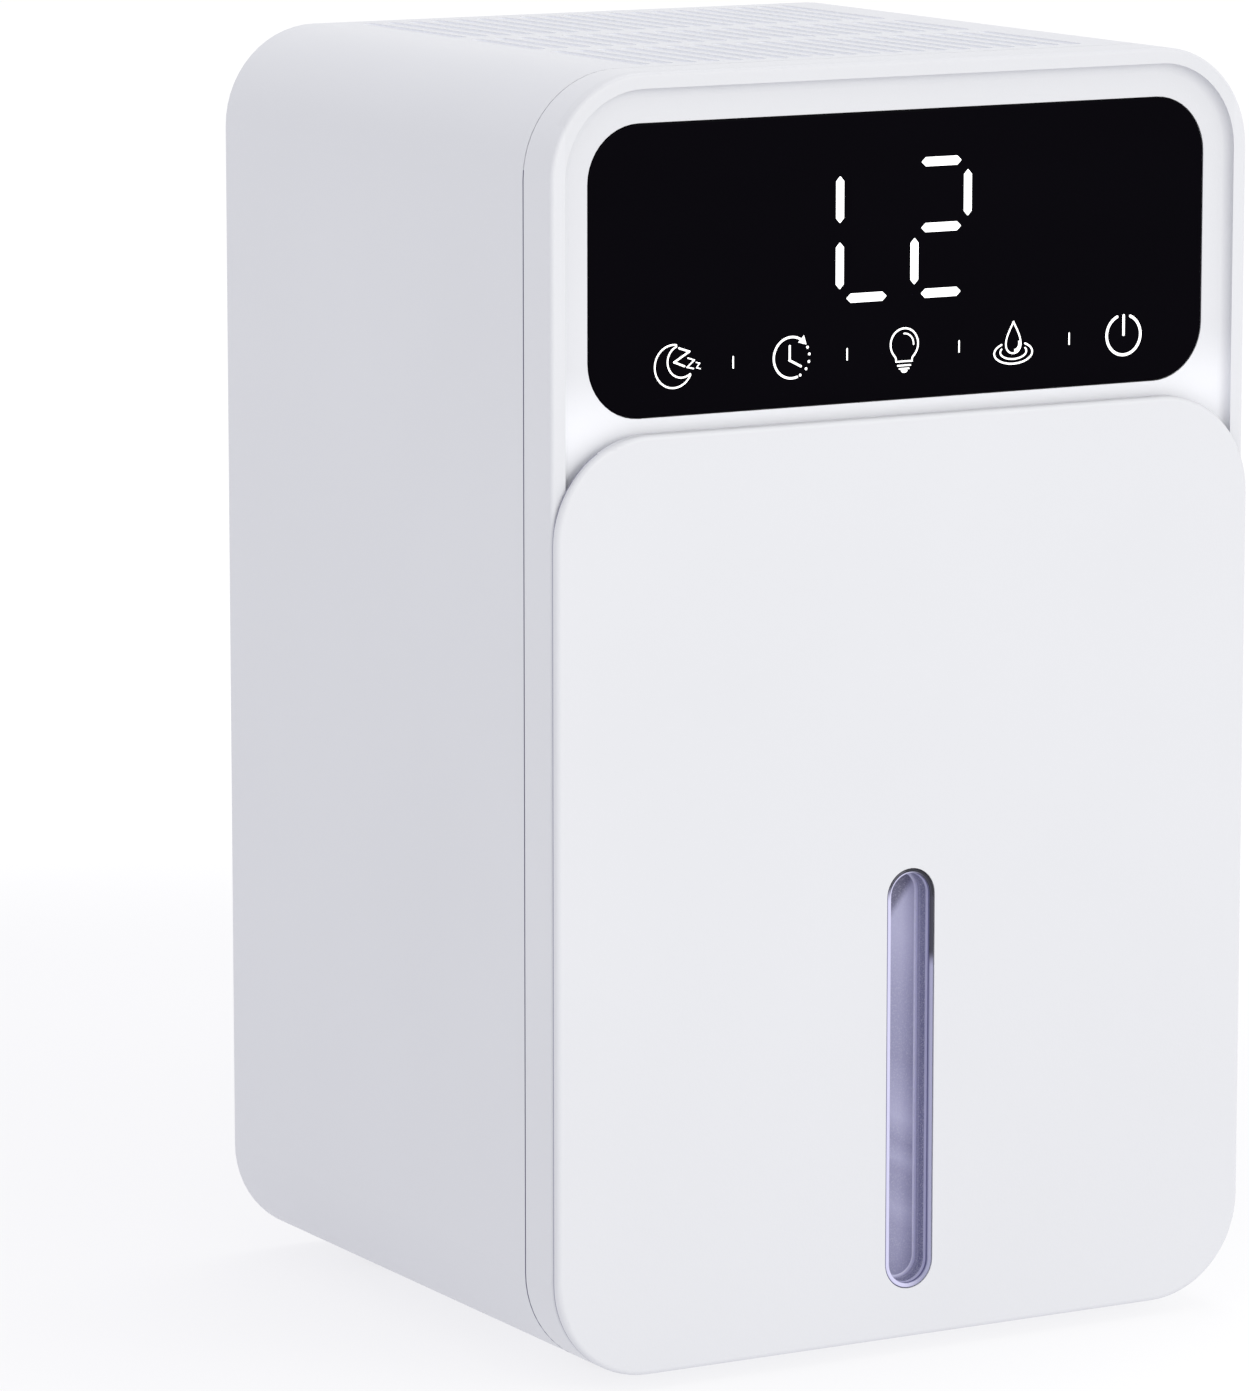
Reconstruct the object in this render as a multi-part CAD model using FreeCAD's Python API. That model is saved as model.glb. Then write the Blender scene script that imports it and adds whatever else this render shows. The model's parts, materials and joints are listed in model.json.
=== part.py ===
import FreeCAD, Part
import math
import os

# Table-top thermoelectric dehumidifier. Origin: middle of the footprint, on the surface it stands on.
# +Z is up and the front, with the display and the tank panel, faces -Y. All sizes are in millimetres.

V = FreeCAD.Vector

# ---------------------------------------------------------------- driving dimensions
WIDTH = 154.0            # overall, along X
DEPTH = 136.5            # overall, tank panel to back edge
HEIGHT = 250.0           # overall, surface to top
FOOT_H = 3.0             # rubber feet below the shell
CORNER_R = 19.7          # the four long corners of the shell
WALL = 2.2               # shell wall
BACK_EDGE_R = 1.0

PANEL_PROUD = 2.0        # tank panel in front of the rim
PANEL_GAP = 0.3          # running gap between tank panel and rim
PANEL_BELOW_DISPLAY = 2.5
PANEL_TOP_R = 20.0
PANEL_EDGE_R = 1.0

FRAME_DEPTH = 10.6       # rim face to the seam behind it
SEAM_GAP = 0.3
RIM_W = 3.0              # flat rim round the recess
RIM_EDGE_R = 0.8
RECESS_DEPTH = 2.0
COVE_R = 1.8
PLATE_T = 3.2            # front plate behind the recess
SPIGOT_T = 1.2
SPIGOT_LEN = 4.0
SPIGOT_FIT = 0.1
SNAP_PROUD = 0.6
SNAP_LEN = 8.0

DISPLAY_W = 136.5
DISPLAY_H = 55.1
DISPLAY_FROM_TOP = 9.5   # shell top to display
DISPLAY_R = 11.0
LENS_T = 2.0
LENS_PROUD = 0.1
LENS_FIT = 0.15
LENS_LEDGE = 3.0
READOUT_HEIGHT = 32.35   # middle of the two-digit readout above the display's lower edge
DIGIT_X = (-8.0, 8.5)
TOUCH_HEIGHT = 9.15      # middle of the touch symbols above the display's lower edge
TOUCH_PITCH = 25.0
TOUCH_KEYS = 5

WINDOW_X = 0.5           # middle of the level window
WINDOW_W = 10.6
WINDOW_LOW = 4.6         # tank underside to window
WINDOW_HIGH = 7.6        # window to lid
WINDOW_DEPTH = 7.0
WINDOW_WALL = 0.9
WINDOW_FIT = 0.05

TANK_SIDE = 6.0          # shell side to tank side
TANK_LIFT = 3.0          # shell floor to tank underside
TANK_H = 94.8
REAR_BAY = 30.25         # back of the tank to the back edge
LID_T = 2.0
SKIRT_H = 4.0
SKIRT_T = 1.2
TANK_WALL = 2.0
TANK_GAP = 0.8           # tank to frame aperture, each side
PANEL_BOND_T = 0.7
DRIP_X = 0.0
DRIP_BEHIND_COLD = 14.2  # cold face of the module to the drip line
DRIP_HOLE_R = 9.0

DECK_ABOVE_LID = 3.5
DECK_T = 2.0
BAY_WALL_GAP = 3.0       # tank back to the wall behind it
LEDGE_T = 1.7
BOSS_FROM_WALL = 3.5     # shell corner's inner face to the middle of a rear screw
COVER_INSET = 2.0
COVER_T = 2.0
COVER_FIT = 0.2
INTAKE_SLOT_W = 30.0
INTAKE_SLOT_H = 3.0
INTAKE_COLUMN_PITCH = 34.0
INTAKE_ROW_PITCH = 6.2
INTAKE_ROWS = 13
INTAKE_ABOVE_DECK = 11.5

GRILLE_PITCH = 5.05
GRILLE_SLOTS = 20
GRILLE_SLOT_W = 2.6
GRILLE_ROWS = ((15.5, 51.0), (56.0, 83.0), (88.0, 128.5))   # distances behind the rim face

FAN_SIZE = 80.0
FAN_T = 25.0
FAN_Y = 2.0
FAN_TOP_GAP = 6.8        # fan to the underside of the top wall
LEADS_BELOW_FAN = 5.5    # height of the module's leads where they pass the duct wall
FAN_RIM = 2.0            # thinnest wall round the bore
FAN_TIP_GAP = 1.0
FAN_HUB_R = 17.5
FAN_SHAFT_R = 1.5
FAN_SHAFT_FIT = 0.05
FAN_HOLE_INSET = 4.25
FAN_BLADES = 7

DUCT_WALL = 2.0
DUCT_PAST_FAN = 2.0      # duct beyond the fan, front and back
DUCT_FOOT = 8.0
GROOVE_RIB = 3.0
GROOVE_FIT = 0.2

TEC_SIZE = 40.0
TEC_T = 3.8
TEC_ABOVE_DECK = 51.5
TEC_Y = 2.0              # hot face of the module
HOT_BASE_T = 5.0
HOT_FIN_LEN = 28.0
HOT_SIDE_GAP = 0.5       # hot base to duct wall, inside the grooves
HOT_BELOW = 10.0         # hot sink beyond the gasket, below and above
HOT_ABOVE = 8.0
HOT_FIN_PITCH = 4.8
FIN_T = 1.2
COLD_BASE_T = 4.0
COLD_FIN_LEN = 18.0
COLD_PAST = 4.0          # cold sink beyond the gasket, below and above
COLD_FIN_PITCH = 4.85
CLAMP_OUT = 5.5          # clamp screws beyond the module, sideways
CLAMP_UP = 5.0           # and up and down
GASKET_EDGE = 4.5        # gasket beyond the clamp screws
TRAY_H = 10.0
TRAY_T = 1.6
TRAY_LEN = 26.0

FLOAT_FROM_SIDE = 26.0   # tank side, back and lid to the float's hinge
FLOAT_FROM_BACK = 18.0
FLOAT_BELOW_LID = 17.0
FLOAT_ARM = 34.0
FLOAT_DROOP = 22.0       # degrees below level with the tank empty
FLOAT_PIN_R = 1.5
FLOAT_PIN_FIT = 0.05

JACK_X = -40.0
JACK_Z = 30.0
JACK_NOSE_R = 4.4
JACK_BARREL_R = 2.85
JACK_PIN_R = 1.05
JACK_DEPTH = 10.0

SCREW_R = 1.45
SCREW_FIT = 0.05
SCREW_PASS_R = 1.8       # clearance hole
BOARD_T = 1.6
BOARD_POST = 3.45
MAIN_BELOW_DISPLAY = 9.4
MAIN_H = 63.0
MAIN_HALF_W = 46.0
FOOT_FROM_SIDE = 27.0
FOOT_FROM_SEAM = 9.65
FOOT_FROM_BACK = 22.25
FOOT_R = 6.0
SINK_IN = 0.5            # feet let into the shell

# ---------------------------------------------------------------- places worked out from them
HALF_W = WIDTH / 2
FRONT = -DEPTH / 2
BACK = DEPTH / 2
RIM = FRONT + PANEL_PROUD
SEAM = RIM + FRAME_DEPTH
RECESS = RIM + RECESS_DEPTH
PLATE_BACK = RECESS + PLATE_T
DISPLAY_Z1 = HEIGHT - DISPLAY_FROM_TOP
DISPLAY_Z0 = DISPLAY_Z1 - DISPLAY_H
READOUT_Z = DISPLAY_Z0 + READOUT_HEIGHT
TOUCH_Z = DISPLAY_Z0 + TOUCH_HEIGHT
PANEL_TOP = DISPLAY_Z0 - PANEL_BELOW_DISPLAY
PANEL_REAR = RIM - PANEL_GAP
FLOOR_Z = FOOT_H + WALL
TANK_HALF_W = HALF_W - TANK_SIDE
TANK_FRONT = PANEL_REAR + PANEL_BOND_T
TANK_BACK = BACK - REAR_BAY
TANK_Z0 = FLOOR_Z + TANK_LIFT
TANK_LID_Z = TANK_Z0 + TANK_H
TANK_TOP = TANK_LID_Z + LID_T
TANK_R = CORNER_R - TANK_SIDE
WINDOW_Z0 = TANK_Z0 + WINDOW_LOW
WINDOW_Z1 = TANK_LID_Z - WINDOW_HIGH
APERTURE_TOP = TANK_TOP + 1.0
COVER_BACK = BACK - COVER_INSET
COVER_FRONT = COVER_BACK - COVER_T
INNER_HALF = HALF_W - WALL
INNER_R = CORNER_R - WALL
CEILING_Z = HEIGHT - WALL
DECK_Z = TANK_TOP + DECK_ABOVE_LID
DECK_TOP = DECK_Z + DECK_T
BAY_WALL_Y = TANK_BACK + BAY_WALL_GAP
FRAME_INNER = WALL + SPIGOT_FIT + SPIGOT_T
BOARD_FRONT = PLATE_BACK + BOARD_POST
BOARD_BACK = BOARD_FRONT + BOARD_T
MAIN_TOP = DISPLAY_Z0 - MAIN_BELOW_DISPLAY
MAIN_BOTTOM = MAIN_TOP - MAIN_H
SOCKET_TOP = MAIN_TOP - 6.0
FAN_Z = CEILING_Z - FAN_TOP_GAP - FAN_T
FAN_BORE_R = FAN_SIZE / 2 - FAN_RIM
FAN_TIP_R = FAN_BORE_R - FAN_TIP_GAP
FAN_HOLE_HALF = FAN_SIZE / 2 - FAN_HOLE_INSET
DUCT_INNER = FAN_SIZE / 2
DUCT_OUTER = DUCT_INNER + DUCT_WALL
DUCT_FRONT = FAN_Y - FAN_SIZE / 2 - DUCT_PAST_FAN - DUCT_WALL
DUCT_BACK = FAN_Y + FAN_SIZE / 2 + DUCT_PAST_FAN
TEC_Z = DECK_TOP + TEC_ABOVE_DECK
CLAMP_X = TEC_SIZE / 2 + CLAMP_OUT
CLAMP_DZ = TEC_SIZE / 2 + CLAMP_UP
GASKET_HALF = CLAMP_X + GASKET_EDGE
HOT_FACE = TEC_Y - HOT_BASE_T
HOT_HALF_W = DUCT_INNER - HOT_SIDE_GAP
HOT_Z0 = TEC_Z - GASKET_HALF - HOT_BELOW
HOT_Z1 = TEC_Z + GASKET_HALF + HOT_ABOVE
COLD_FACE = TEC_Y + TEC_T
COLD_BACK = COLD_FACE + COLD_BASE_T
COLD_Z0 = TEC_Z - GASKET_HALF - COLD_PAST
COLD_Z1 = TEC_Z + GASKET_HALF + COLD_PAST
DRIP_Y = COLD_FACE + DRIP_BEHIND_COLD
FLOAT_X = TANK_HALF_W - FLOAT_FROM_SIDE
FLOAT_Y = TANK_BACK - FLOAT_FROM_BACK
FLOAT_Z = TANK_LID_Z - FLOAT_BELOW_LID
LENS_FRONT = RECESS - LENS_PROUD
LENS_BACK = LENS_FRONT + LENS_T
BOSS_OFFSET = (INNER_R - BOSS_FROM_WALL) / math.sqrt(2)
BOSS_X = HALF_W - CORNER_R + BOSS_OFFSET
BOSS_Z = (FOOT_H + CORNER_R - BOSS_OFFSET, HEIGHT - CORNER_R + BOSS_OFFSET)
FLOAT_ANGLE = math.radians(FLOAT_DROOP)
SIDES = (-1, 1)


# ---------------------------------------------------------------- shapes used many times
def box(x0, x1, y0, y1, z0, z1):
    """Block between two corners."""
    return Part.makeBox(x1 - x0, y1 - y0, z1 - z0, V(x0, y0, z0))


def rod(radius, start, end):
    """Cylinder of a radius from one point to another."""
    along = V(*end) - V(*start)
    return Part.makeCylinder(radius, along.Length, V(*start), along)


def rounded_wire(u0, u1, v0, v1, r_low, r_high, place):
    """Rectangle with round corners of r_low at v0 and r_high at v1, put in space by place(u, v)."""
    corners = (
        (u1 - r_low, v0 + r_low, r_low, -90),
        (u1 - r_high, v1 - r_high, r_high, 0),
        (u0 + r_high, v1 - r_high, r_high, 90),
        (u0 + r_low, v0 + r_low, r_low, 180),
    )
    arcs = []
    for u, v, radius, start in corners:
        turns = [math.radians(start + step) for step in (0, 45, 90)]
        arcs.append([place(u + radius * math.cos(t), v + radius * math.sin(t)) for t in turns])
    edges = []
    for here, following in zip(arcs, arcs[1:] + arcs[:1]):
        if here[0].distanceToPoint(here[2]) > 1e-6:
            edges.append(Part.Arc(*here).toShape())
        if here[2].distanceToPoint(following[0]) > 1e-6:
            edges.append(Part.LineSegment(here[2], following[0]).toShape())
    return Part.Wire(edges)


def prism_y(x0, x1, z0, z1, r_low, r_high, y0, y1):
    """Rounded rectangle seen from the front, from y0 to y1."""
    wire = rounded_wire(x0, x1, z0, z1, r_low, r_high, lambda u, v: V(u, y0, v))
    return Part.Face(wire).extrude(V(0, y1 - y0, 0))


def prism_z(x0, x1, y0, y1, radius, z0, z1):
    """Rounded rectangle seen from above, from z0 to z1."""
    wire = rounded_wire(x0, x1, y0, y1, radius, radius, lambda u, v: V(u, v, z0))
    return Part.Face(wire).extrude(V(0, 0, z1 - z0))


def outline_y(inset, y0, y1):
    """The shell's own outline, moved inwards, from y0 to y1."""
    radius = CORNER_R - inset
    return prism_y(-HALF_W + inset, HALF_W - inset, FOOT_H + inset, HEIGHT - inset, radius, radius, y0, y1)


def ring_y(outer_inset, inner_inset, y0, y1):
    """Band between two insets of the shell's outline."""
    return outline_y(outer_inset, y0, y1).cut(outline_y(inner_inset, y0 - 1, y1 + 1))


def join(shapes):
    """One solid from touching shapes, without seams on shared planes."""
    return shapes[0].multiFuse(shapes[1:]).removeSplitter()


def group(shapes):
    """Separate solids kept in one node."""
    return Part.makeCompound(shapes)


def round_edges_at_y(shape, y, radius):
    """Fillet every edge that lies wholly in the plane at y."""
    edges = [e for e in shape.Edges if abs(e.BoundBox.YMin - y) < 1e-4 and abs(e.BoundBox.YMax - y) < 1e-4]
    return shape.makeFillet(radius, edges)


def lead(points, radius):
    """Round lead along straight runs joined by tangent arcs, with its arc radii printed."""
    path = [V(*p) for p in points]
    edges = []
    radii = []
    start = path[0]
    for before, corner, after in zip(path, path[1:], path[2:]):
        back = (before - corner).normalize()
        ahead = (after - corner).normalize()
        half_turn = (math.pi - back.getAngle(ahead)) / 2
        setback = 0.45 * min(before.distanceToPoint(corner), corner.distanceToPoint(after))
        bend = setback / math.tan(half_turn)
        radii.append(round(bend, 1))
        first = corner + back * setback
        last = corner + ahead * setback
        inward = (back + ahead).normalize()
        middle = corner + inward * (bend / math.cos(half_turn) - bend)
        edges.append(Part.LineSegment(start, first).toShape())
        edges.append(Part.Arc(first, middle, last).toShape())
        start = last
    edges.append(Part.LineSegment(start, path[-1]).toShape())
    heading = (path[1] - path[0]).normalize()
    section = Part.Wire(Part.makeCircle(radius, path[0], heading))
    wire = Part.Wire(edges)
    tube = wire.makePipeShell([section], True, False)
    expected = math.pi * radius ** 2 * wire.Length
    print("lead radii", radii, "volume over section times length", round(tube.Volume / expected, 4))
    return tube


def screws_along_y(places, y_head, head_r, head_t, radius, length):
    """Pan-head screws whose heads face +Y, at (x, z) places, heads starting at y_head."""
    made = []
    for x, z in places:
        shank = rod(radius, (x, y_head - length, z), (x, y_head, z))
        head = rod(head_r, (x, y_head, z), (x, y_head + head_t, z))
        made.append(join([shank, head]))
    return group(made)


# ---------------------------------------------------------------- shell
def grille_slots():
    """Slots of the outlet grille in the top wall, in rows across the depth."""
    slots = []
    for near, far in GRILLE_ROWS:
        for index in range(GRILLE_SLOTS):
            x = (index - (GRILLE_SLOTS - 1) / 2) * GRILLE_PITCH
            half = GRILLE_SLOT_W / 2
            slot = prism_z(x - half, x + half, RIM + near, RIM + far, half, CEILING_Z - 1, HEIGHT + 1)
            slots.append(slot)
    return group(slots)


def snap_places():
    """Middles of the six snaps between frame and housing, as (x, z, normal x, normal z)."""
    places = []
    for side in SIDES:
        for z in (FOOT_H + 57, HEIGHT - 50):
            places.append((side * INNER_HALF, z, side, 0))
    places.append((0.0, FLOOR_Z, 0, -1))
    places.append((0.0, CEILING_Z, 0, 1))
    return places


def snap_block(place, proud, length, y0, y1):
    """Bar that stands out of the spigot's outer face, or the pocket for it."""
    x, z, nx, nz = place
    root = SPIGOT_FIT + 0.3
    low = min(-root, proud)
    high = max(-root, proud)
    if nx:
        xs = sorted((x + nx * low, x + nx * high))
        return box(xs[0], xs[1], y0, y1, z - length / 2, z + length / 2)
    zs = sorted((z + nz * low, z + nz * high))
    return box(x - length / 2, x + length / 2, y0, y1, zs[0], zs[1])


def main_housing():
    """Shell behind the seam: walls, outlet grille, rails, ledges and rear screw bosses."""
    shell = outline_y(0, SEAM + SEAM_GAP / 2, BACK)
    shell = round_edges_at_y(shell, BACK, BACK_EDGE_R)
    shell = shell.cut(outline_y(WALL, SEAM - 1, BACK + 1))
    parts = [shell]
    cover_ledge = ring_y(WALL - 0.5, WALL + 2.5, COVER_FRONT - 2, COVER_FRONT)
    parts.append(cover_ledge)
    for side in SIDES:
        xs = sorted((side * (TANK_HALF_W + 0.6), side * (INNER_HALF + 0.5)))
        parts.append(box(xs[0], xs[1], SEAM + 6, COVER_FRONT - 2, DECK_Z - LEDGE_T, DECK_Z))
        rail = sorted((side * 38, side * 44))
        parts.append(box(rail[0], rail[1], SEAM + 6, BAY_WALL_Y - 1, FLOOR_Z - 0.5, TANK_Z0 - 0.3))
    for x, z in boss_places():
        parts.append(rod(4.0, (x, COVER_FRONT - 12, z), (x, COVER_FRONT, z)))
    housing = join(parts)
    cuts = [grille_slots()]
    for x, z in boss_places():
        cuts.append(rod(SCREW_R + SCREW_FIT, (x, COVER_FRONT - 10, z), (x, COVER_FRONT + 1, z)))
    for place in snap_places():
        pocket = snap_block(place, SNAP_PROUD + 0.2, SNAP_LEN + 0.4, SEAM + 1.4, SEAM + 3.6)
        cuts.append(pocket)
    for x, y in foot_places():
        cuts.append(rod(FOOT_R + 0.1, (x, y, FOOT_H - 1), (x, y, FOOT_H + SINK_IN)))
    return housing.cut(cuts)


def boss_places():
    """Middles of the four rear screw bosses, as (x, z)."""
    return [(side * BOSS_X, z) for side in SIDES for z in BOSS_Z]


def foot_places():
    """Middles of the four feet."""
    x = HALF_W - FOOT_FROM_SIDE
    return [(side * x, y) for side in SIDES for y in (SEAM + FOOT_FROM_SEAM, BACK - FOOT_FROM_BACK)]


def rubber_feet():
    """Four round feet, let into the underside."""
    feet = []
    for x, y in foot_places():
        foot = rod(FOOT_R, (x, y, 0), (x, y, FOOT_H + SINK_IN))
        rim = [e for e in foot.Edges if abs(e.BoundBox.ZMax) < 1e-4]
        feet.append(foot.makeFillet(0.6, rim))
    return group(feet)


def rear_cover():
    """Inset back plate with intake slots, screw holes and the port for the power socket."""
    cover = outline_y(WALL + COVER_FIT, COVER_FRONT, COVER_BACK)
    cuts = []
    half = INTAKE_SLOT_W / 2
    tall = INTAKE_SLOT_H / 2
    for column in (-1, 0, 1):
        x = column * INTAKE_COLUMN_PITCH
        for row in range(INTAKE_ROWS):
            z = DECK_TOP + INTAKE_ABOVE_DECK + row * INTAKE_ROW_PITCH
            cuts.append(prism_y(x - half, x + half, z - tall, z + tall, tall, tall,
                                COVER_FRONT - 1, COVER_BACK + 1))
    for x, z in boss_places():
        cuts.append(rod(SCREW_PASS_R, (x, COVER_FRONT - 1, z), (x, COVER_BACK + 1, z)))
    port = JACK_NOSE_R + 0.1
    cuts.append(rod(port, (JACK_X, COVER_FRONT - 1, JACK_Z), (JACK_X, COVER_BACK + 1, JACK_Z)))
    return cover.cut(cuts)


def cover_screws():
    """Four screws that hold the back plate."""
    return screws_along_y(boss_places(), COVER_BACK, 3.2, 1.7, SCREW_R, 10.0)


# ---------------------------------------------------------------- front frame and display
def front_frame():
    """Front ring with its recess and cove, display pocket, tank aperture, spigot and board posts."""
    block = round_edges_at_y(outline_y(0, RIM, SEAM - SEAM_GAP / 2), RIM, RIM_EDGE_R)
    recess = round_edges_at_y(outline_y(RIM_W, RIM - 1, RECESS), RECESS, COVE_R)
    hollow = outline_y(FRAME_INNER, PLATE_BACK, SEAM + 1)
    block = block.cut([recess, hollow])
    spigot = ring_y(WALL + SPIGOT_FIT, FRAME_INNER, SEAM - SEAM_GAP / 2, SEAM + SPIGOT_LEN)
    parts = [block, spigot]
    for place in snap_places():
        parts.append(snap_block(place, SNAP_PROUD, SNAP_LEN, SEAM + 1.6, SEAM + 3.4))
    for x, z in board_places():
        parts.append(rod(2.5, (x, PLATE_BACK - 0.5, z), (x, BOARD_FRONT, z)))
    frame = join(parts)
    half = DISPLAY_W / 2
    pocket = prism_y(-half, half, DISPLAY_Z0, DISPLAY_Z1, DISPLAY_R, DISPLAY_R, RECESS - 1, LENS_BACK)
    through = half - LENS_LEDGE
    light = prism_y(-through, through, DISPLAY_Z0 + LENS_LEDGE, DISPLAY_Z1 - LENS_LEDGE,
                    DISPLAY_R - LENS_LEDGE, DISPLAY_R - LENS_LEDGE, RECESS - 1, PLATE_BACK + 1)
    open_half = TANK_HALF_W + TANK_GAP
    aperture = prism_y(-open_half, open_half, TANK_Z0 - TANK_GAP, APERTURE_TOP, TANK_R + TANK_GAP, 2.0,
                       RIM - 1, SEAM + SPIGOT_LEN + 1)
    cuts = [pocket, light, aperture]
    for x, z in board_places():
        cuts.append(rod(1.0, (x, PLATE_BACK - 1, z), (x, BOARD_FRONT + 1, z)))
    return frame.cut(cuts)


def board_places():
    """Posts for the display board and the main board, as (x, z)."""
    x = HALF_W - 8
    display = [(side * x, z) for side in SIDES for z in (DISPLAY_Z0 + 14.5, DISPLAY_Z1 - 14.5)]
    main_x = MAIN_HALF_W - 4
    main = [(side * main_x, z) for side in SIDES for z in (MAIN_BOTTOM + 5, MAIN_TOP - 5)]
    return display + main


def board_screws():
    """Eight small screws that hold the two boards to the posts."""
    return screws_along_y(board_places(), BOARD_BACK, 2.2, 1.2, 0.95, BOARD_T + 3.2)


def display_lens():
    """Black glass of the display, a little proud of the recess."""
    half = DISPLAY_W / 2 - LENS_FIT
    radius = DISPLAY_R - LENS_FIT
    lens = prism_y(-half, half, DISPLAY_Z0 + LENS_FIT, DISPLAY_Z1 - LENS_FIT, radius, radius,
                   LENS_FRONT, LENS_BACK)
    return round_edges_at_y(lens, LENS_FRONT, 0.25)


def display_board():
    """Circuit board behind the display, with side ears for its screws."""
    half = DISPLAY_W / 2 - 5
    board = box(-half, half, BOARD_FRONT, BOARD_BACK, DISPLAY_Z0 + 3, DISPLAY_Z1 - 3)
    reach = HALF_W - 5
    ears = box(-reach, reach, BOARD_FRONT, BOARD_BACK, DISPLAY_Z0 + 9.5, DISPLAY_Z1 - 9.5)
    plate = join([board, ears])
    holes = []
    for x, z in board_places()[:4]:
        holes.append(rod(1.1, (x, BOARD_FRONT - 1, z), (x, BOARD_BACK + 1, z)))
    return plate.cut(holes)


def digit_module():
    """Two-digit light box between the board and the glass."""
    half_h = 15.25
    low = READOUT_Z - half_h
    high = READOUT_Z + half_h
    body = box(DIGIT_X[0] - 9.5, DIGIT_X[1] + 10, LENS_BACK + 0.2, BOARD_FRONT, low, high)
    wells = []
    for centre in DIGIT_X:
        wells.append(box(centre - 7.2, centre + 7.2, LENS_BACK - 1, LENS_BACK + 1.4, low + 1.5, high - 1.5))
    return body.cut(wells)


def touch_places():
    """Middles of the touch symbols along X."""
    return [(index - (TOUCH_KEYS - 1) / 2) * TOUCH_PITCH for index in range(TOUCH_KEYS)]


def icon_lights():
    """Five light boxes behind the touch symbols."""
    boxes = []
    for x in touch_places():
        boxes.append(box(x - 4.5, x + 4.5, LENS_BACK + 0.2, BOARD_FRONT, TOUCH_Z - 4.5, TOUCH_Z - 2))
    return group(boxes)


def touch_pads():
    """Five spring contacts that carry the touch keys to the glass, drawn as thin rings."""
    rings = []
    z = TOUCH_Z + 2
    for x in touch_places():
        outer = rod(3.6, (x, LENS_BACK, z), (x, BOARD_FRONT, z))
        rings.append(outer.cut(rod(2.9, (x, LENS_BACK - 1, z), (x, BOARD_FRONT + 1, z))))
    return group(rings)


def main_board():
    """Control board below the display board."""
    plate = box(-MAIN_HALF_W, MAIN_HALF_W, BOARD_FRONT, BOARD_BACK, MAIN_BOTTOM, MAIN_TOP)
    holes = []
    for x, z in board_places()[4:]:
        holes.append(rod(1.1, (x, BOARD_FRONT - 1, z), (x, BOARD_BACK + 1, z)))
    return plate.cut(holes)


def power_components():
    """Capacitors, coil, power switches and connectors standing on the control board."""
    parts = []
    can_z = MAIN_BOTTOM + 37
    for x in (-28.0, -17.0):
        parts.append(rod(4.0, (x, BOARD_BACK, can_z), (x, BOARD_BACK + 9.0, can_z)))
    coil_z = MAIN_BOTTOM + 21
    coil = rod(7.5, (0, BOARD_BACK, coil_z), (0, BOARD_BACK + 6.0, coil_z))
    parts.append(coil.cut(rod(3.2, (0, BOARD_BACK - 1, coil_z), (0, BOARD_BACK + 7, coil_z))))
    for x in (26.0, 37.0):
        parts.append(box(x - 4, x + 4, BOARD_BACK, BOARD_BACK + 4.5, MAIN_BOTTOM + 15, MAIN_BOTTOM + 29))
    parts.append(box(-8, 6, BOARD_BACK, BOARD_BACK + 2.0, MAIN_BOTTOM + 39, MAIN_BOTTOM + 49))
    for x in (15.5, 30.0):
        parts.append(box(x - 4, x + 4, BOARD_BACK, BOARD_BACK + 6.5, SOCKET_TOP - 8, SOCKET_TOP))
    power_x = JACK_X + 7
    parts.append(box(power_x - 4, power_x + 4, BOARD_BACK, BOARD_BACK + 7.0, MAIN_BOTTOM + 13,
                     MAIN_BOTTOM + 21))
    parts.append(box(-9, 7, BOARD_BACK, BOARD_BACK + 3.5, SOCKET_TOP - 3, SOCKET_TOP + 0.5))
    return group(parts)


def ribbon_socket():
    """Ribbon connector on the display board."""
    return box(-9, 7, BOARD_BACK, BOARD_BACK + 3.5, DISPLAY_Z0 + 5, DISPLAY_Z0 + 8.5)


def display_ribbon():
    """Flat ribbon between the two boards."""
    return box(-8, 6, BOARD_BACK + 1.5, BOARD_BACK + 2.0, SOCKET_TOP + 0.5, DISPLAY_Z0 + 5)


# ---------------------------------------------------------------- tank drawer
def tank_front_panel():
    """Big front panel fixed to the tank, with the slot for the level window and stiffening ribs."""
    panel = prism_y(-HALF_W, HALF_W, FOOT_H, PANEL_TOP, CORNER_R, PANEL_TOP_R, FRONT, PANEL_REAR)
    panel = round_edges_at_y(panel, FRONT, PANEL_EDGE_R)
    parts = [panel]
    rib_back = RECESS - 0.5
    low = TANK_TOP + 6
    high = PANEL_TOP - 11
    for z in (low, (low + high) / 2, high):
        parts.append(box(-58, 58, PANEL_REAR - 0.3, rib_back, z - 0.8, z + 0.8))
    for x in (-45.0, 0.0, 45.0):
        parts.append(box(x - 0.8, x + 0.8, PANEL_REAR - 0.3, rib_back, low, high))
    half = WINDOW_W / 2 + WINDOW_FIT
    slot = prism_y(WINDOW_X - half, WINDOW_X + half, WINDOW_Z0 - WINDOW_FIT, WINDOW_Z1 + WINDOW_FIT,
                   half, half, FRONT - 1, PANEL_REAR + 1)
    return join(parts).cut(slot)


def window_prism(inset, y0, y1):
    """Outline of the level window, moved inwards, from y0 to y1."""
    half = WINDOW_W / 2 - inset
    low = WINDOW_Z0 + inset
    high = WINDOW_Z1 - inset
    return prism_y(WINDOW_X - half, WINDOW_X + half, low, high, half, half, y0, y1)


def level_window():
    """Clear tray set through the panel and the tank wall, with a flange between the two."""
    tray = window_prism(0, FRONT, FRONT + WINDOW_DEPTH)
    flange = window_prism(-2.6, PANEL_REAR, TANK_FRONT)
    tray = join([tray, flange])
    return tray.cut(window_prism(WINDOW_WALL, FRONT - 1, FRONT + WINDOW_DEPTH - WINDOW_WALL))


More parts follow.
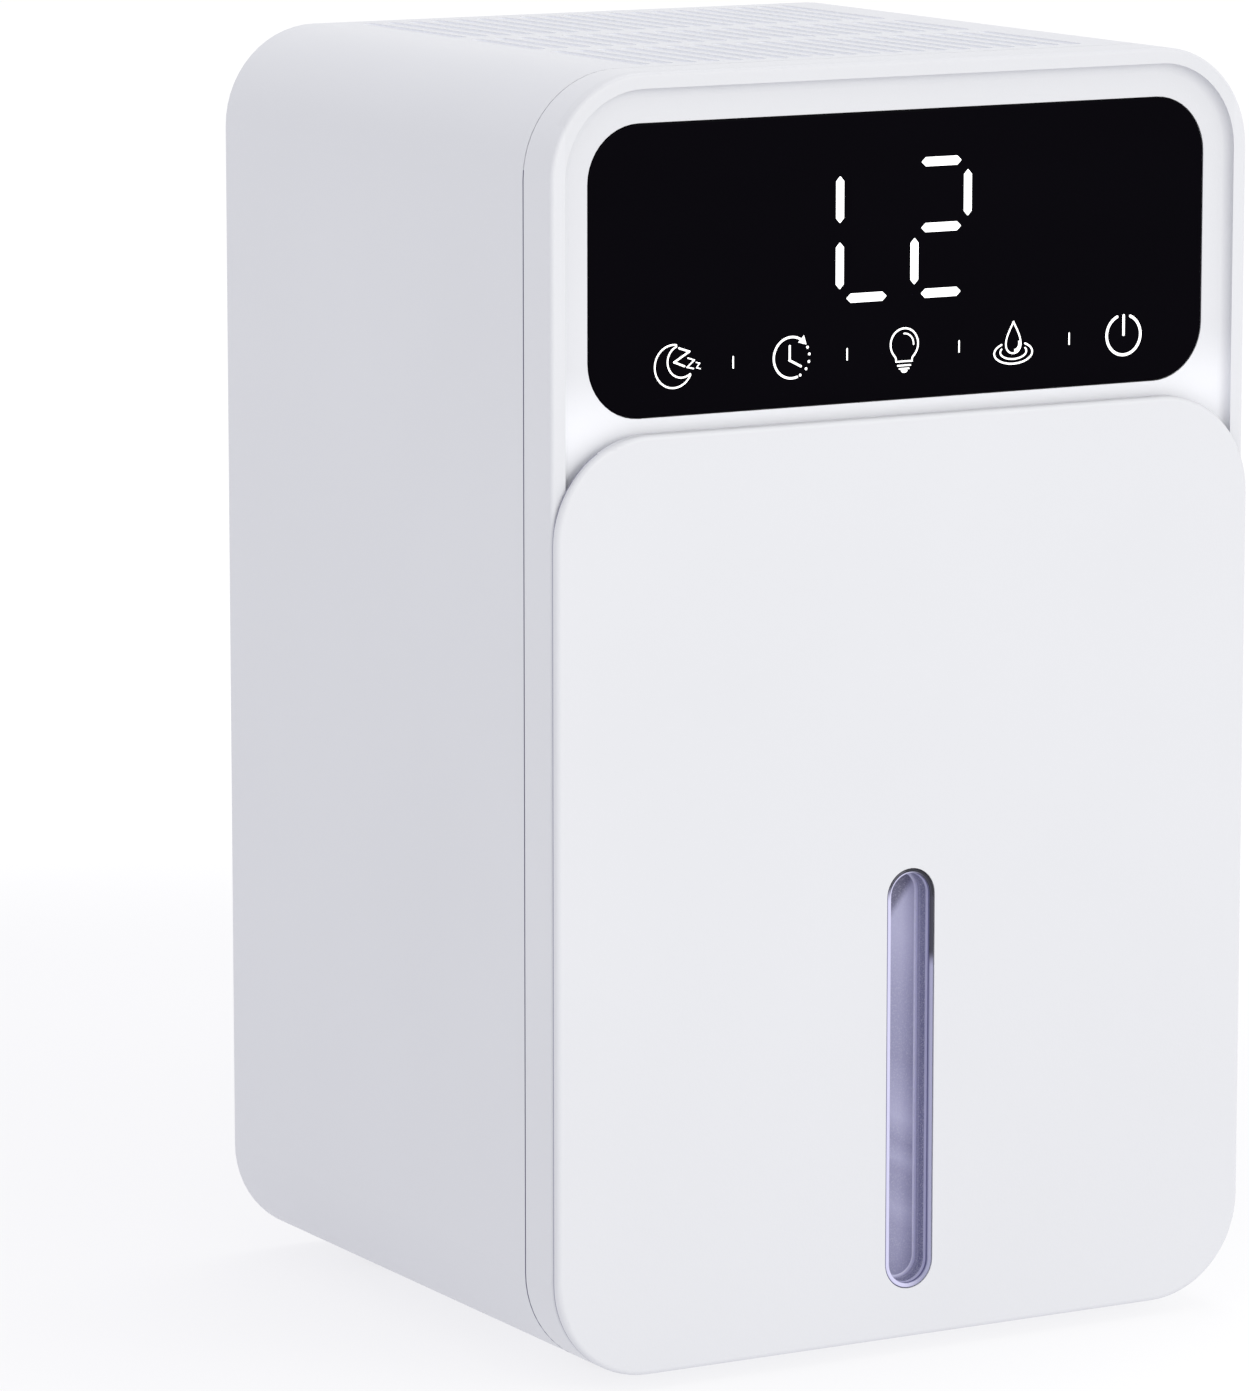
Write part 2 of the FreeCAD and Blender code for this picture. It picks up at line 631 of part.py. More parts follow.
def panel_bond_pads():
    """Four bonding strips between the panel and the tank."""
    strips = []
    for side in SIDES:
        xs = sorted((side * 40, side * 56))
        for z in (TANK_Z0 + 26, TANK_LID_Z - 15):
            strips.append(box(xs[0], xs[1], PANEL_REAR, TANK_FRONT, z - 6, z + 6))
    return group(strips)


def tank_prism(inset, y0, y1, z1):
    """Tank outline seen from the front, moved inwards."""
    half = TANK_HALF_W - inset
    return prism_y(-half, half, TANK_Z0 + inset, z1, TANK_R - inset, 0, y0, y1)


def water_tank():
    """Open-topped water tank with its window opening in front."""
    tank = tank_prism(0, TANK_FRONT, TANK_BACK, TANK_LID_Z)
    tank = tank.cut(tank_prism(TANK_WALL, TANK_FRONT + TANK_WALL, TANK_BACK - TANK_WALL, TANK_LID_Z + 1))
    return tank.cut(window_prism(-WINDOW_FIT, TANK_FRONT - 1, TANK_FRONT + TANK_WALL + 1))


def tank_lid():
    """Lid plate with a skirt inside the tank, a drip hole and a pouring slot."""
    plate = box(-TANK_HALF_W, TANK_HALF_W, TANK_FRONT, TANK_BACK, TANK_LID_Z, TANK_TOP)
    inset = TANK_WALL + 0.15
    low = TANK_LID_Z - SKIRT_H
    outer = box(-TANK_HALF_W + inset, TANK_HALF_W - inset, TANK_FRONT + inset, TANK_BACK - inset, low,
                TANK_LID_Z)
    deep = inset + SKIRT_T
    inner = box(-TANK_HALF_W + deep, TANK_HALF_W - deep, TANK_FRONT + deep, TANK_BACK - deep, low - 1,
                TANK_LID_Z)
    lid = join([plate, outer.cut(inner)])
    drip = rod(DRIP_HOLE_R, (DRIP_X, DRIP_Y, low), (DRIP_X, DRIP_Y, TANK_TOP + 1))
    pour_x = -TANK_HALF_W + 11
    pour_y = TANK_FRONT + 14
    pour = prism_z(pour_x, pour_x + 36, pour_y, pour_y + 16, 6, low, TANK_TOP + 1)
    return lid.cut([drip, pour])


def float_cheeks():
    """The two x ranges of the float bracket's cheeks."""
    return ((FLOAT_X - 12.0, FLOAT_X - 10.0), (FLOAT_X + 10.0, FLOAT_X + 12.0))


def hinge_rod(radius, half_length):
    """Cylinder on the float's hinge axis."""
    return rod(radius, (FLOAT_X - half_length, FLOAT_Y, FLOAT_Z), (FLOAT_X + half_length, FLOAT_Y, FLOAT_Z))


def float_bracket():
    """Bracket on the tank's back wall with two cheeks and a stop bar under the float arms."""
    back = TANK_BACK - TANK_WALL
    parts = [box(FLOAT_X - 12, FLOAT_X + 12, back - 2, back, FLOAT_Z - 11, FLOAT_Z + 7)]
    for x0, x1 in float_cheeks():
        parts.append(box(x0, x1, FLOAT_Y - 9, back, FLOAT_Z - 11, FLOAT_Z + 5))
    reach = 9.0
    drop = 2.5 + 0.3 + 1.5
    y = FLOAT_Y - reach * math.cos(FLOAT_ANGLE) + drop * math.sin(FLOAT_ANGLE)
    z = FLOAT_Z - reach * math.sin(FLOAT_ANGLE) - drop * math.cos(FLOAT_ANGLE)
    parts.append(rod(1.5, (FLOAT_X - 11, y, z), (FLOAT_X + 11, y, z)))
    return join(parts).cut(hinge_rod(FLOAT_PIN_R, 13))


def float_pin():
    """Hinge pin of the float, held in the bracket's cheeks."""
    return hinge_rod(FLOAT_PIN_R, 12.6)


def droop(shape):
    """Turn a level float shape down about the pin to its resting angle."""
    return shape.rotated(V(FLOAT_X, FLOAT_Y, FLOAT_Z), V(1, 0, 0), FLOAT_DROOP)


def float_body():
    """Float block with two arms and their hinge eyes, drawn level and then turned down."""
    parts = []
    for x0, x1 in ((FLOAT_X - 9.4, FLOAT_X - 6.4), (FLOAT_X + 6.4, FLOAT_X + 9.4)):
        parts.append(rod(3.5, (x0, FLOAT_Y, FLOAT_Z), (x1, FLOAT_Y, FLOAT_Z)))
        parts.append(box(x0, x1, FLOAT_Y - FLOAT_ARM + 8, FLOAT_Y, FLOAT_Z - 2.5, FLOAT_Z + 2.5))
    middle = FLOAT_Y - FLOAT_ARM
    parts.append(prism_z(FLOAT_X - 13, FLOAT_X + 13, middle - 12, middle + 12, 3, FLOAT_Z - 7, FLOAT_Z + 5))
    body = join(parts)
    bore = hinge_rod(FLOAT_PIN_R + FLOAT_PIN_FIT, 15)
    pocket = rod(4.1, (FLOAT_X, middle, FLOAT_Z + 2), (FLOAT_X, middle, FLOAT_Z + 6))
    return droop(body.cut([bore, pocket]))


def float_magnet():
    """Disc magnet let into the top of the float."""
    middle = FLOAT_Y - FLOAT_ARM
    return droop(rod(4.0, (FLOAT_X, middle, FLOAT_Z + 2), (FLOAT_X, middle, FLOAT_Z + 4.8)))


# ---------------------------------------------------------------- chassis and cooling stack
def inner_chassis():
    """Deck above the tank, wall behind it and two ribs that reach the back cover."""
    half = INNER_HALF - SPIGOT_T - 0.5
    deck = box(-half, half, PLATE_BACK, COVER_FRONT - 2.2, DECK_Z, DECK_TOP)
    low = FLOOR_Z + 0.2
    wall_half = INNER_HALF - 0.4
    wall_top = DECK_Z - LEDGE_T - 0.2
    wall = prism_y(-wall_half, wall_half, low, wall_top, INNER_R, 0, BAY_WALL_Y, BAY_WALL_Y + 2)
    neck_half = TANK_HALF_W - 5
    neck = box(-neck_half, neck_half, BAY_WALL_Y, BAY_WALL_Y + 2, DECK_Z - 4, DECK_Z)
    parts = [deck, wall, neck]
    for side in SIDES:
        xs = sorted((side * 55, side * 57))
        parts.append(box(xs[0], xs[1], BAY_WALL_Y + 1, COVER_FRONT - 0.2, 40, DECK_Z))
    chassis = join(parts)
    spout = rod(5.8, (DRIP_X, DRIP_Y, DECK_Z - 1), (DRIP_X, DRIP_Y, DECK_TOP + 1))
    cable = prism_z(JACK_X - 12, JACK_X - 6, COVER_FRONT - 16, COVER_FRONT - 6, 2.9,
                    DECK_Z - 1, DECK_TOP + 1)
    cuts = [spout, cable]
    for x, y in duct_screw_places():
        cuts.append(rod(SCREW_R + SCREW_FIT, (x, y, DECK_Z - 1), (x, y, DECK_TOP + 1)))
    return chassis.cut(cuts)


def duct_screw_places():
    """Screws through the duct's feet into the deck, as (x, y)."""
    x = DUCT_OUTER + DUCT_FOOT / 2
    return [(side * x, y) for side in SIDES for y in (-30.0, 30.0)]


def air_duct():
    """Open-backed air channel round the cooling stack, with the fan shelf on top."""
    shell = box(-DUCT_OUTER, DUCT_OUTER, DUCT_FRONT, DUCT_BACK, DECK_TOP, FAN_Z)
    hollow = box(-DUCT_INNER, DUCT_INNER, DUCT_FRONT + DUCT_WALL, DUCT_BACK + 1, DECK_TOP - 1,
                 FAN_Z - DUCT_WALL)
    shell = shell.cut(hollow)
    parts = [shell]
    for side in SIDES:
        xs = sorted((side * (DUCT_OUTER - 0.5), side * (DUCT_OUTER + DUCT_FOOT)))
        for y in (-30.0, 30.0):
            parts.append(box(xs[0], xs[1], y - 5, y + 5, DECK_TOP, DECK_TOP + 2))
        rib = sorted((side * (DUCT_INNER - GROOVE_RIB), side * (DUCT_INNER + 0.5)))
        front = HOT_FACE - GROOVE_FIT
        back = TEC_Y + GROOVE_FIT
        sill = HOT_Z0 - 6
        parts.append(box(rib[0], rib[1], front - 2, front, sill, HOT_Z1))
        parts.append(box(rib[0], rib[1], back, back + 2, sill, HOT_Z1))
        parts.append(box(rib[0], rib[1], front - 2, back + 2, sill, HOT_Z0 - 0.1))
    for x in (-FAN_HOLE_HALF, FAN_HOLE_HALF):
        for y in (FAN_Y - FAN_HOLE_HALF, FAN_Y + FAN_HOLE_HALF):
            parts.append(rod(3.8, (x, y, FAN_Z - 8), (x, y, FAN_Z - 1)))
    duct = join(parts)
    cuts = [rod(FAN_BORE_R - 0.5, (0, FAN_Y, FAN_Z - DUCT_WALL - 1), (0, FAN_Y, FAN_Z + 1))]
    lead_z = FAN_Z - LEADS_BELOW_FAN
    cuts.append(prism_y(10, 21, lead_z - 2.75, lead_z + 2.75, 2.7, 2.7, DUCT_FRONT - 1,
                        DUCT_FRONT + DUCT_WALL + 1))
    for x in (-FAN_HOLE_HALF, FAN_HOLE_HALF):
        for y in (FAN_Y - FAN_HOLE_HALF, FAN_Y + FAN_HOLE_HALF):
            cuts.append(rod(SCREW_R + SCREW_FIT, (x, y, FAN_Z - 9), (x, y, FAN_Z + 1)))
    for x, y in duct_screw_places():
        cuts.append(rod(SCREW_PASS_R, (x, y, DECK_TOP - 1), (x, y, DECK_TOP + 3)))
    return duct.cut(cuts)


def duct_screws():
    """Four screws that hold the duct to the deck."""
    made = []
    for x, y in duct_screw_places():
        shank = rod(SCREW_R, (x, y, DECK_Z + 0.2), (x, y, DECK_TOP + 2))
        made.append(join([shank, rod(2.9, (x, y, DECK_TOP + 2), (x, y, DECK_TOP + 3.8))]))
    return group(made)


def clamp_places():
    """Screws that clamp the two heat sinks on the module, as (x, z)."""
    return [(side * CLAMP_X, TEC_Z + dz) for side in SIDES for dz in (-CLAMP_DZ, CLAMP_DZ)]


def fin_places(half_width, pitch):
    """Middles of as many fins as fit in a half width on each side."""
    count = int(2 * (half_width - FIN_T / 2) / pitch) + 1
    return [(index - (count - 1) / 2) * pitch for index in range(count)]


def hot_sink():
    """Hot-side heat sink: base plate in the duct's grooves and fins towards the front."""
    parts = [box(-HOT_HALF_W, HOT_HALF_W, HOT_FACE, TEC_Y, HOT_Z0, HOT_Z1)]
    half = FIN_T / 2
    for x in fin_places(HOT_HALF_W - 5, HOT_FIN_PITCH):
        parts.append(box(x - half, x + half, HOT_FACE - HOT_FIN_LEN, HOT_FACE + 0.2, HOT_Z0, HOT_Z1))
    holes = []
    for x, z in clamp_places():
        holes.append(rod(SCREW_R + SCREW_FIT, (x, TEC_Y - 4, z), (x, TEC_Y + 1, z)))
    return join(parts).cut(holes)


def cold_sink():
    """Cold-side heat sink on which the moisture condenses, fins towards the back."""
    tip = COLD_BACK + COLD_FIN_LEN
    parts = [box(-GASKET_HALF, GASKET_HALF, COLD_FACE, COLD_BACK, COLD_Z0, COLD_Z1)]
    for x in fin_places(GASKET_HALF, COLD_FIN_PITCH):
        parts.append(box(x - FIN_T / 2, x + FIN_T / 2, COLD_BACK - 0.2, tip, COLD_Z0, COLD_Z1))
    cuts = []
    for x, z in clamp_places():
        cuts.append(rod(SCREW_PASS_R, (x, COLD_FACE - 1, z), (x, COLD_BACK + 1, z)))
        cuts.append(rod(3.7, (x, COLD_BACK, z), (x, tip + 1, z)))
    return join(parts).cut(cuts)


def peltier_module():
    """Thermoelectric module: two ceramic plates on a slightly smaller core."""
    half = TEC_SIZE / 2
    plate = 0.8
    low = TEC_Z - half
    high = TEC_Z + half
    hot = box(-half, half, TEC_Y, TEC_Y + plate, low, high)
    cold = box(-half, half, COLD_FACE - plate, COLD_FACE, low, high)
    core = box(-half + 0.6, half - 0.6, TEC_Y, COLD_FACE, low + 0.6, high)
    return join([hot, core, cold])


def peltier_gasket():
    """Foam frame round the module that seals the gap between the heat sinks."""
    half = GASKET_HALF
    frame = box(-half, half, TEC_Y, COLD_FACE, TEC_Z - half, TEC_Z + half)
    inner = TEC_SIZE / 2 + 0.3
    cuts = [box(-inner, inner, TEC_Y - 1, COLD_FACE + 1, TEC_Z - inner, TEC_Z + inner)]
    cuts.append(box(10, 21, TEC_Y - 1, COLD_FACE + 1, TEC_Z, TEC_Z + half + 1))
    for x, z in clamp_places():
        cuts.append(rod(SCREW_PASS_R, (x, TEC_Y - 1, z), (x, COLD_FACE + 1, z)))
    return frame.cut(cuts)


def sink_clamp_screws():
    """Four screws through the cold sink into the hot sink."""
    length = COLD_BASE_T + TEC_T + 3.2
    return screws_along_y(clamp_places(), COLD_BACK, 2.9, 2.0, SCREW_R, length)


def drip_tray():
    """Tray under the cold sink, drained by a spout that passes the deck."""
    y0 = COLD_FACE + 2.4
    y1 = y0 + TRAY_LEN
    top = DECK_TOP + TRAY_H
    half = DUCT_INNER - 6
    tray = prism_z(-half, half, y0, y1, 3, DECK_TOP, top)
    spout = rod(5.2, (DRIP_X, DRIP_Y, TANK_TOP + 1.6), (DRIP_X, DRIP_Y, DECK_TOP + 1))
    tray = join([tray, spout])
    inner = half - TRAY_T
    hollow = prism_z(-inner, inner, y0 + TRAY_T, y1 - TRAY_T, 1.4, DECK_TOP + TRAY_T, top + 1)
    drain = rod(3.8, (DRIP_X, DRIP_Y, TANK_TOP), (DRIP_X, DRIP_Y, DECK_TOP + 3))
    return tray.cut([hollow, drain])


# ---------------------------------------------------------------- fan
def fan_frame():
    """Square fan housing with round bore, motor plate and three struts below the rotor."""
    half = FAN_SIZE / 2
    block = prism_z(-half, half, FAN_Y - half, FAN_Y + half, 4, FAN_Z, FAN_Z + FAN_T)
    block = block.cut(rod(FAN_BORE_R, (0, FAN_Y, FAN_Z - 1), (0, FAN_Y, FAN_Z + FAN_T + 1)))
    parts = [block, rod(17.0, (0, FAN_Y, FAN_Z), (0, FAN_Y, FAN_Z + 2.4))]
    strut = box(16, FAN_BORE_R + 0.6, FAN_Y - 2, FAN_Y + 2, FAN_Z, FAN_Z + 2.4)
    for turn in (45, 135, 225, 315):
        parts.append(strut.rotated(V(0, FAN_Y, 0), V(0, 0, 1), turn))
    frame = join(parts)
    holes = []
    for x in (-FAN_HOLE_HALF, FAN_HOLE_HALF):
        for y in (FAN_Y - FAN_HOLE_HALF, FAN_Y + FAN_HOLE_HALF):
            holes.append(rod(2.1, (x, y, FAN_Z - 1), (x, y, FAN_Z + FAN_T + 1)))
    return frame.cut(holes)


def fan_bearing():
    """Sleeve bearing that carries the rotor shaft."""
    z0 = FAN_Z + 2.4
    sleeve = rod(3.6, (0, FAN_Y, z0), (0, FAN_Y, z0 + 13))
    bore = FAN_SHAFT_R + FAN_SHAFT_FIT
    return sleeve.cut(rod(bore, (0, FAN_Y, z0 + 1.0), (0, FAN_Y, z0 + 14)))


def fan_stator():
    """Motor windings round the bearing: a core ring with four wound arms."""
    z0 = FAN_Z + 4.0
    parts = [rod(6.0, (0, FAN_Y, z0), (0, FAN_Y, z0 + 9))]
    arm = box(5, 12.6, FAN_Y - 3, FAN_Y + 3, z0 + 1, z0 + 8)
    for turn in (0, 90, 180, 270):
        parts.append(arm.rotated(V(0, FAN_Y, 0), V(0, 0, 1), turn))
    stator = join(parts)
    return stator.cut(rod(3.6, (0, FAN_Y, z0 - 1), (0, FAN_Y, z0 + 10)))


def fan_blade():
    """One twisted blade along +X, steeper at the hub than at the tip."""
    sections = []
    for radius, pitch in ((FAN_HUB_R - 0.8, 48.0), (27.0, 40.0), (FAN_TIP_R - 0.3, 33.0)):
        half_chord = 7.0 + 0.16 * (radius - FAN_HUB_R)
        angle = math.radians(pitch)
        along = V(0, math.cos(angle), math.sin(angle))
        across = V(0, -math.sin(angle), math.cos(angle))
        centre = V(radius, FAN_Y, FAN_Z + 14.0)
        corners = []
        for u, w in ((-1, -0.5), (1, -0.5), (1, 0.5), (-1, 0.5)):
            corners.append(centre + along * (u * half_chord) + across * (w * 1.3))
        sections.append(Part.makePolygon(corners + corners[:1]))
    return Part.makeLoft(sections, True, True)


def fan_rotor():
    """Hub cup with seven blades."""
    z0 = FAN_Z + 4.6
    z1 = FAN_Z + FAN_T - 1.2
    cup = rod(FAN_HUB_R, (0, FAN_Y, z0), (0, FAN_Y, z1))
    parts = [cup]
    blade = fan_blade()
    for index in range(FAN_BLADES):
        parts.append(blade.rotated(V(0, FAN_Y, 0), V(0, 0, 1), index * 360.0 / FAN_BLADES))
    rotor = join(parts)
    hollow = rod(FAN_HUB_R - 1.5, (0, FAN_Y, z0 - 1), (0, FAN_Y, z1 - 1.6))
    shaft_hole = rod(FAN_SHAFT_R, (0, FAN_Y, z1 - 2), (0, FAN_Y, z1 - 0.6))
    reach = rod(FAN_TIP_R, (0, FAN_Y, FAN_Z), (0, FAN_Y, FAN_Z + FAN_T))
    return rotor.common(reach).cut([hollow, shaft_hole])


def fan_magnet():
    """Ring magnet inside the hub cup."""
    z0 = FAN_Z + 5.0
    z1 = z0 + 9.0
    ring = rod(FAN_HUB_R - 1.5, (0, FAN_Y, z0), (0, FAN_Y, z1))
    return ring.cut(rod(FAN_HUB_R - 3.8, (0, FAN_Y, z0 - 1), (0, FAN_Y, z1 + 1)))


def fan_shaft():
    """Shaft pressed in the hub, running in the bearing."""
    return rod(FAN_SHAFT_R, (0, FAN_Y, FAN_Z + 3.8), (0, FAN_Y, FAN_Z + FAN_T - 1.8))


def fan_screws():
    """Four long screws through the fan corners into the duct shelf."""
    made = []
    top = FAN_Z + FAN_T
    for x in (-FAN_HOLE_HALF, FAN_HOLE_HALF):
        for y in (FAN_Y - FAN_HOLE_HALF, FAN_Y + FAN_HOLE_HALF):
            shank = rod(SCREW_R, (x, y, FAN_Z - 7), (x, y, top))
            made.append(join([shank, rod(3.1, (x, y, top), (x, y, top + 2))]))
    return group(made)


# ---------------------------------------------------------------- electrical pieces
def dc_jack():
    """Panel socket for the power plug: body, nose in the back cover, barrel and centre pin."""
    body = rod(6.5, (JACK_X, COVER_FRONT - 12, JACK_Z), (JACK_X, COVER_FRONT, JACK_Z))
    nose = rod(JACK_NOSE_R, (JACK_X, COVER_FRONT - 1, JACK_Z), (JACK_X, COVER_BACK, JACK_Z))
    shell = join([body, nose])
    bottom = COVER_BACK - JACK_DEPTH
    barrel = rod(JACK_BARREL_R, (JACK_X, bottom, JACK_Z), (JACK_X, COVER_BACK + 1, JACK_Z))
    pin = rod(JACK_PIN_R, (JACK_X, bottom - 1, JACK_Z), (JACK_X, COVER_BACK - 0.6, JACK_Z))
    return join([shell.cut(barrel), pin])


def reed_sensor():
    """Magnetic sensor on the deck, above the float's magnet when the tank is full."""
    y = FLOAT_Y - FLOAT_ARM
    return box(FLOAT_X + 3, FLOAT_X + 19, y - 3, y + 3, DECK_TOP, DECK_TOP + 4)


def night_light_board():
    """Narrow lamp board under the front of the deck."""
    return box(-32, 32, PLATE_BACK + 4, PLATE_BACK + 10, DECK_Z - 1.0, DECK_Z)


def night_light_leds():
    """Five lamps on the underside of the lamp board."""
    lamps = []
    for index in range(5):
        x = (index - 2) * 13.0
        lamps.append(box(x - 1.5, x + 1.5, PLATE_BACK + 5.5, PLATE_BACK + 8.5, DECK_Z - 1.8, DECK_Z - 1.0))
    return group(lamps)


def fan_lead():
    """Lead from the fan to the control board."""
    points = (
        (30, FAN_Y - FAN_SIZE / 2, FAN_Z + 4),
        (30, BOARD_BACK + 5, FAN_Z + 4),
        (30, BOARD_BACK + 3.5, SOCKET_TOP + 22),
        (30, BOARD_BACK + 3.3, SOCKET_TOP),
    )
    return lead(points, 0.9)


def peltier_leads():
    """Two leads from the module, over the hot sink and through the duct wall to the control board."""
    made = []
    for x in (13.7, 17.3):
        y = TEC_Y + TEC_T / 2
        points = (
            (x, y, TEC_Z + TEC_SIZE / 2),
            (x, y, FAN_Z - LEADS_BELOW_FAN),
            (x, BOARD_BACK + 3.2, FAN_Z - LEADS_BELOW_FAN),
            (x, BOARD_BACK + 3.2, SOCKET_TOP),
        )
        made.append(lead(points, 0.8))
    return group(made)


def dc_lead():
    """Power lead from the socket up the rear bay, through the deck and forward to the control board."""
    points = (
        (JACK_X, COVER_FRONT - 9, JACK_Z + 6.5),
        (JACK_X, COVER_FRONT - 9, JACK_Z + 36),
        (JACK_X - 9, COVER_FRONT - 11, DECK_TOP - 18.5),
        (JACK_X - 9, COVER_FRONT - 11, DECK_TOP + 10.5),
        (JACK_X - 17, 12, DECK_TOP + 3.5),
        (JACK_X - 17, -36, DECK_TOP + 2.5),
        (JACK_X + 7, BOARD_BACK + 3.5, DECK_TOP + 2.5),
        (JACK_X + 7, BOARD_BACK + 3.5, MAIN_BOTTOM + 13),
    )
    return lead(points, 1.3)


NODES = (
    main_housing, rubber_feet, rear_cover, cover_screws,
    front_frame, board_screws, display_lens, display_board, digit_module, icon_lights, touch_pads,
    main_board, power_components, ribbon_socket, display_ribbon,
    tank_front_panel, level_window, panel_bond_pads, water_tank, tank_lid,
    float_bracket, float_pin, float_body, float_magnet,
    inner_chassis, air_duct, duct_screws, hot_sink, cold_sink, peltier_module, peltier_gasket,
    sink_clamp_screws, drip_tray,
    fan_frame, fan_bearing, fan_stator, fan_rotor, fan_magnet, fan_shaft, fan_screws,
    dc_jack, reed_sensor, night_light_board, night_light_leds, fan_lead, peltier_leads, dc_lead,
)


def main():
    """Write one STEP file per node."""
    os.makedirs("parts", exist_ok=True)
    for make in NODES:
        shape = make()
        shape.exportStep("parts/" + make.__name__ + ".step")
        print(make.__name__, "solids", len(shape.Solids), "valid", shape.isValid(),
              "volume", round(shape.Volume, 1))


main()
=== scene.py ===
"""Looks of a table-top dehumidifier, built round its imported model.

Sizes are in metres unless a name ends in _mm.
"""

from __future__ import annotations

import json
import logging
import math
from dataclasses import dataclass
from enum import Enum
from typing import Any, ClassVar, Iterable, Iterator, Sequence

import bpy
import numpy as np
from mathutils import Matrix, Vector


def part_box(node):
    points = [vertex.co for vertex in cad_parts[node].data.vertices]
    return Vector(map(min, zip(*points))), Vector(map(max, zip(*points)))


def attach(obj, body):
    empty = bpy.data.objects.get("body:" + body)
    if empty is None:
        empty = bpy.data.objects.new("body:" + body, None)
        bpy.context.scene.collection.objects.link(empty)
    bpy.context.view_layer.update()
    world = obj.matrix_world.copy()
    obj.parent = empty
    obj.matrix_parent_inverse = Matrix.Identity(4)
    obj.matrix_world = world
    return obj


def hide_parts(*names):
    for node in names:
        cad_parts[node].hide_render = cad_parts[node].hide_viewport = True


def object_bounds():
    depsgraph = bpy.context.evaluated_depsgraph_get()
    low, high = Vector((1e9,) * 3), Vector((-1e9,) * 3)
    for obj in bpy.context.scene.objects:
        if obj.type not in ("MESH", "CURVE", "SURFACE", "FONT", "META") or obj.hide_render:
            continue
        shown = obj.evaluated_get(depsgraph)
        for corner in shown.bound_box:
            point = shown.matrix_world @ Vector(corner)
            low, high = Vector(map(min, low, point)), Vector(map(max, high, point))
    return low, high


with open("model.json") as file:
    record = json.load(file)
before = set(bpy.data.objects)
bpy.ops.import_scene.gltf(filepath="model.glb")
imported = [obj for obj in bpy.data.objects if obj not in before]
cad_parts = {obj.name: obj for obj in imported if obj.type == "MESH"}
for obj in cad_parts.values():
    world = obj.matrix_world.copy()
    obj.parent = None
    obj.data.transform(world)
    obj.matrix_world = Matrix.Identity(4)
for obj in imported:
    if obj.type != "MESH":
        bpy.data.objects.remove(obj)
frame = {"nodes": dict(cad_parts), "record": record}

CAD_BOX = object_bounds()
MM = 0.001
FULL_TURN = 2.0 * math.pi
QUARTER = math.pi / 2
LOG = logging.getLogger("dehumidifier")
Triple = tuple[float, float, float]
Colour = Triple
Value = Any
BLACK: Colour = (0.0, 0.0, 0.0)
WHITE: Colour = (1.0, 1.0, 1.0)


class Body(str, Enum):
    """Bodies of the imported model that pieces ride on."""

    HOUSING = "housing"
    TANK = "tank"
    FAN = "fan"


class Axis(str, Enum):
    """Ways that a turned part may point."""

    Y = "Y"
    Z = "Z"


# ---------------- shader desk
class Wire:
    """A shader output that takes part in Python arithmetic through Math nodes."""

    def __init__(self, desk: Desk, socket: bpy.types.NodeSocket) -> None:
        """Keep an output socket and the desk whose tree it is in."""
        self.desk = desk
        self.socket = socket

    def _math(self, operation: str, first: Value, second: Value = 0.0) -> Wire:
        """Result of one Math node on two numbers or wires."""
        return self.desk.node("ShaderNodeMath", {"operation": operation}, {0: first, 1: second})

    def __add__(self, other: Value) -> Wire:
        """Sum."""
        return self._math("ADD", self, other)

    __radd__ = __add__

    def __sub__(self, other: Value) -> Wire:
        """Difference."""
        return self._math("SUBTRACT", self, other)

    def __rsub__(self, other: Value) -> Wire:
        """Difference from a number."""
        return self._math("SUBTRACT", other, self)

    def __mul__(self, other: Value) -> Wire:
        """Product."""
        return self._math("MULTIPLY", self, other)

    __rmul__ = __mul__

    def __truediv__(self, other: Value) -> Wire:
        """Quotient."""
        return self._math("DIVIDE", self, other)

    def __rtruediv__(self, other: Value) -> Wire:
        """Quotient of a number by the value."""
        return self._math("DIVIDE", other, self)

    def over(self, edge: float) -> Wire:
        """1 where the value is greater than the edge, else 0."""
        return self._math("GREATER_THAN", self, edge)

    def under(self, edge: float) -> Wire:
        """1 where the value is at most the edge, else 0."""
        return 1.0 - self.over(edge)

    def between(self, low: float, high: float) -> Wire:
        """1 where the value is over low and at most high, else 0."""
        return self.over(low) * self.under(high)

    def size(self) -> Wire:
        """Value without its sign."""
        return self._math("ABSOLUTE", self)

    def whole(self) -> Wire:
        """Nearest whole number."""
        return self._math("ROUND", self)

    def repeat(self, step: float) -> Wire:
        """Saw that goes from -step/2 to step/2, over and over."""
        turns = self / step
        return (turns - turns.whole()) * step

    def ramp(self, low: float, high: float) -> Wire:
        """Smooth rise from 0 at low to 1 at high."""
        ends = {"Value": self, "From Min": low, "From Max": high}
        return self.desk.node("ShaderNodeMapRange", {"interpolation_type": "SMOOTHSTEP"}, ends)


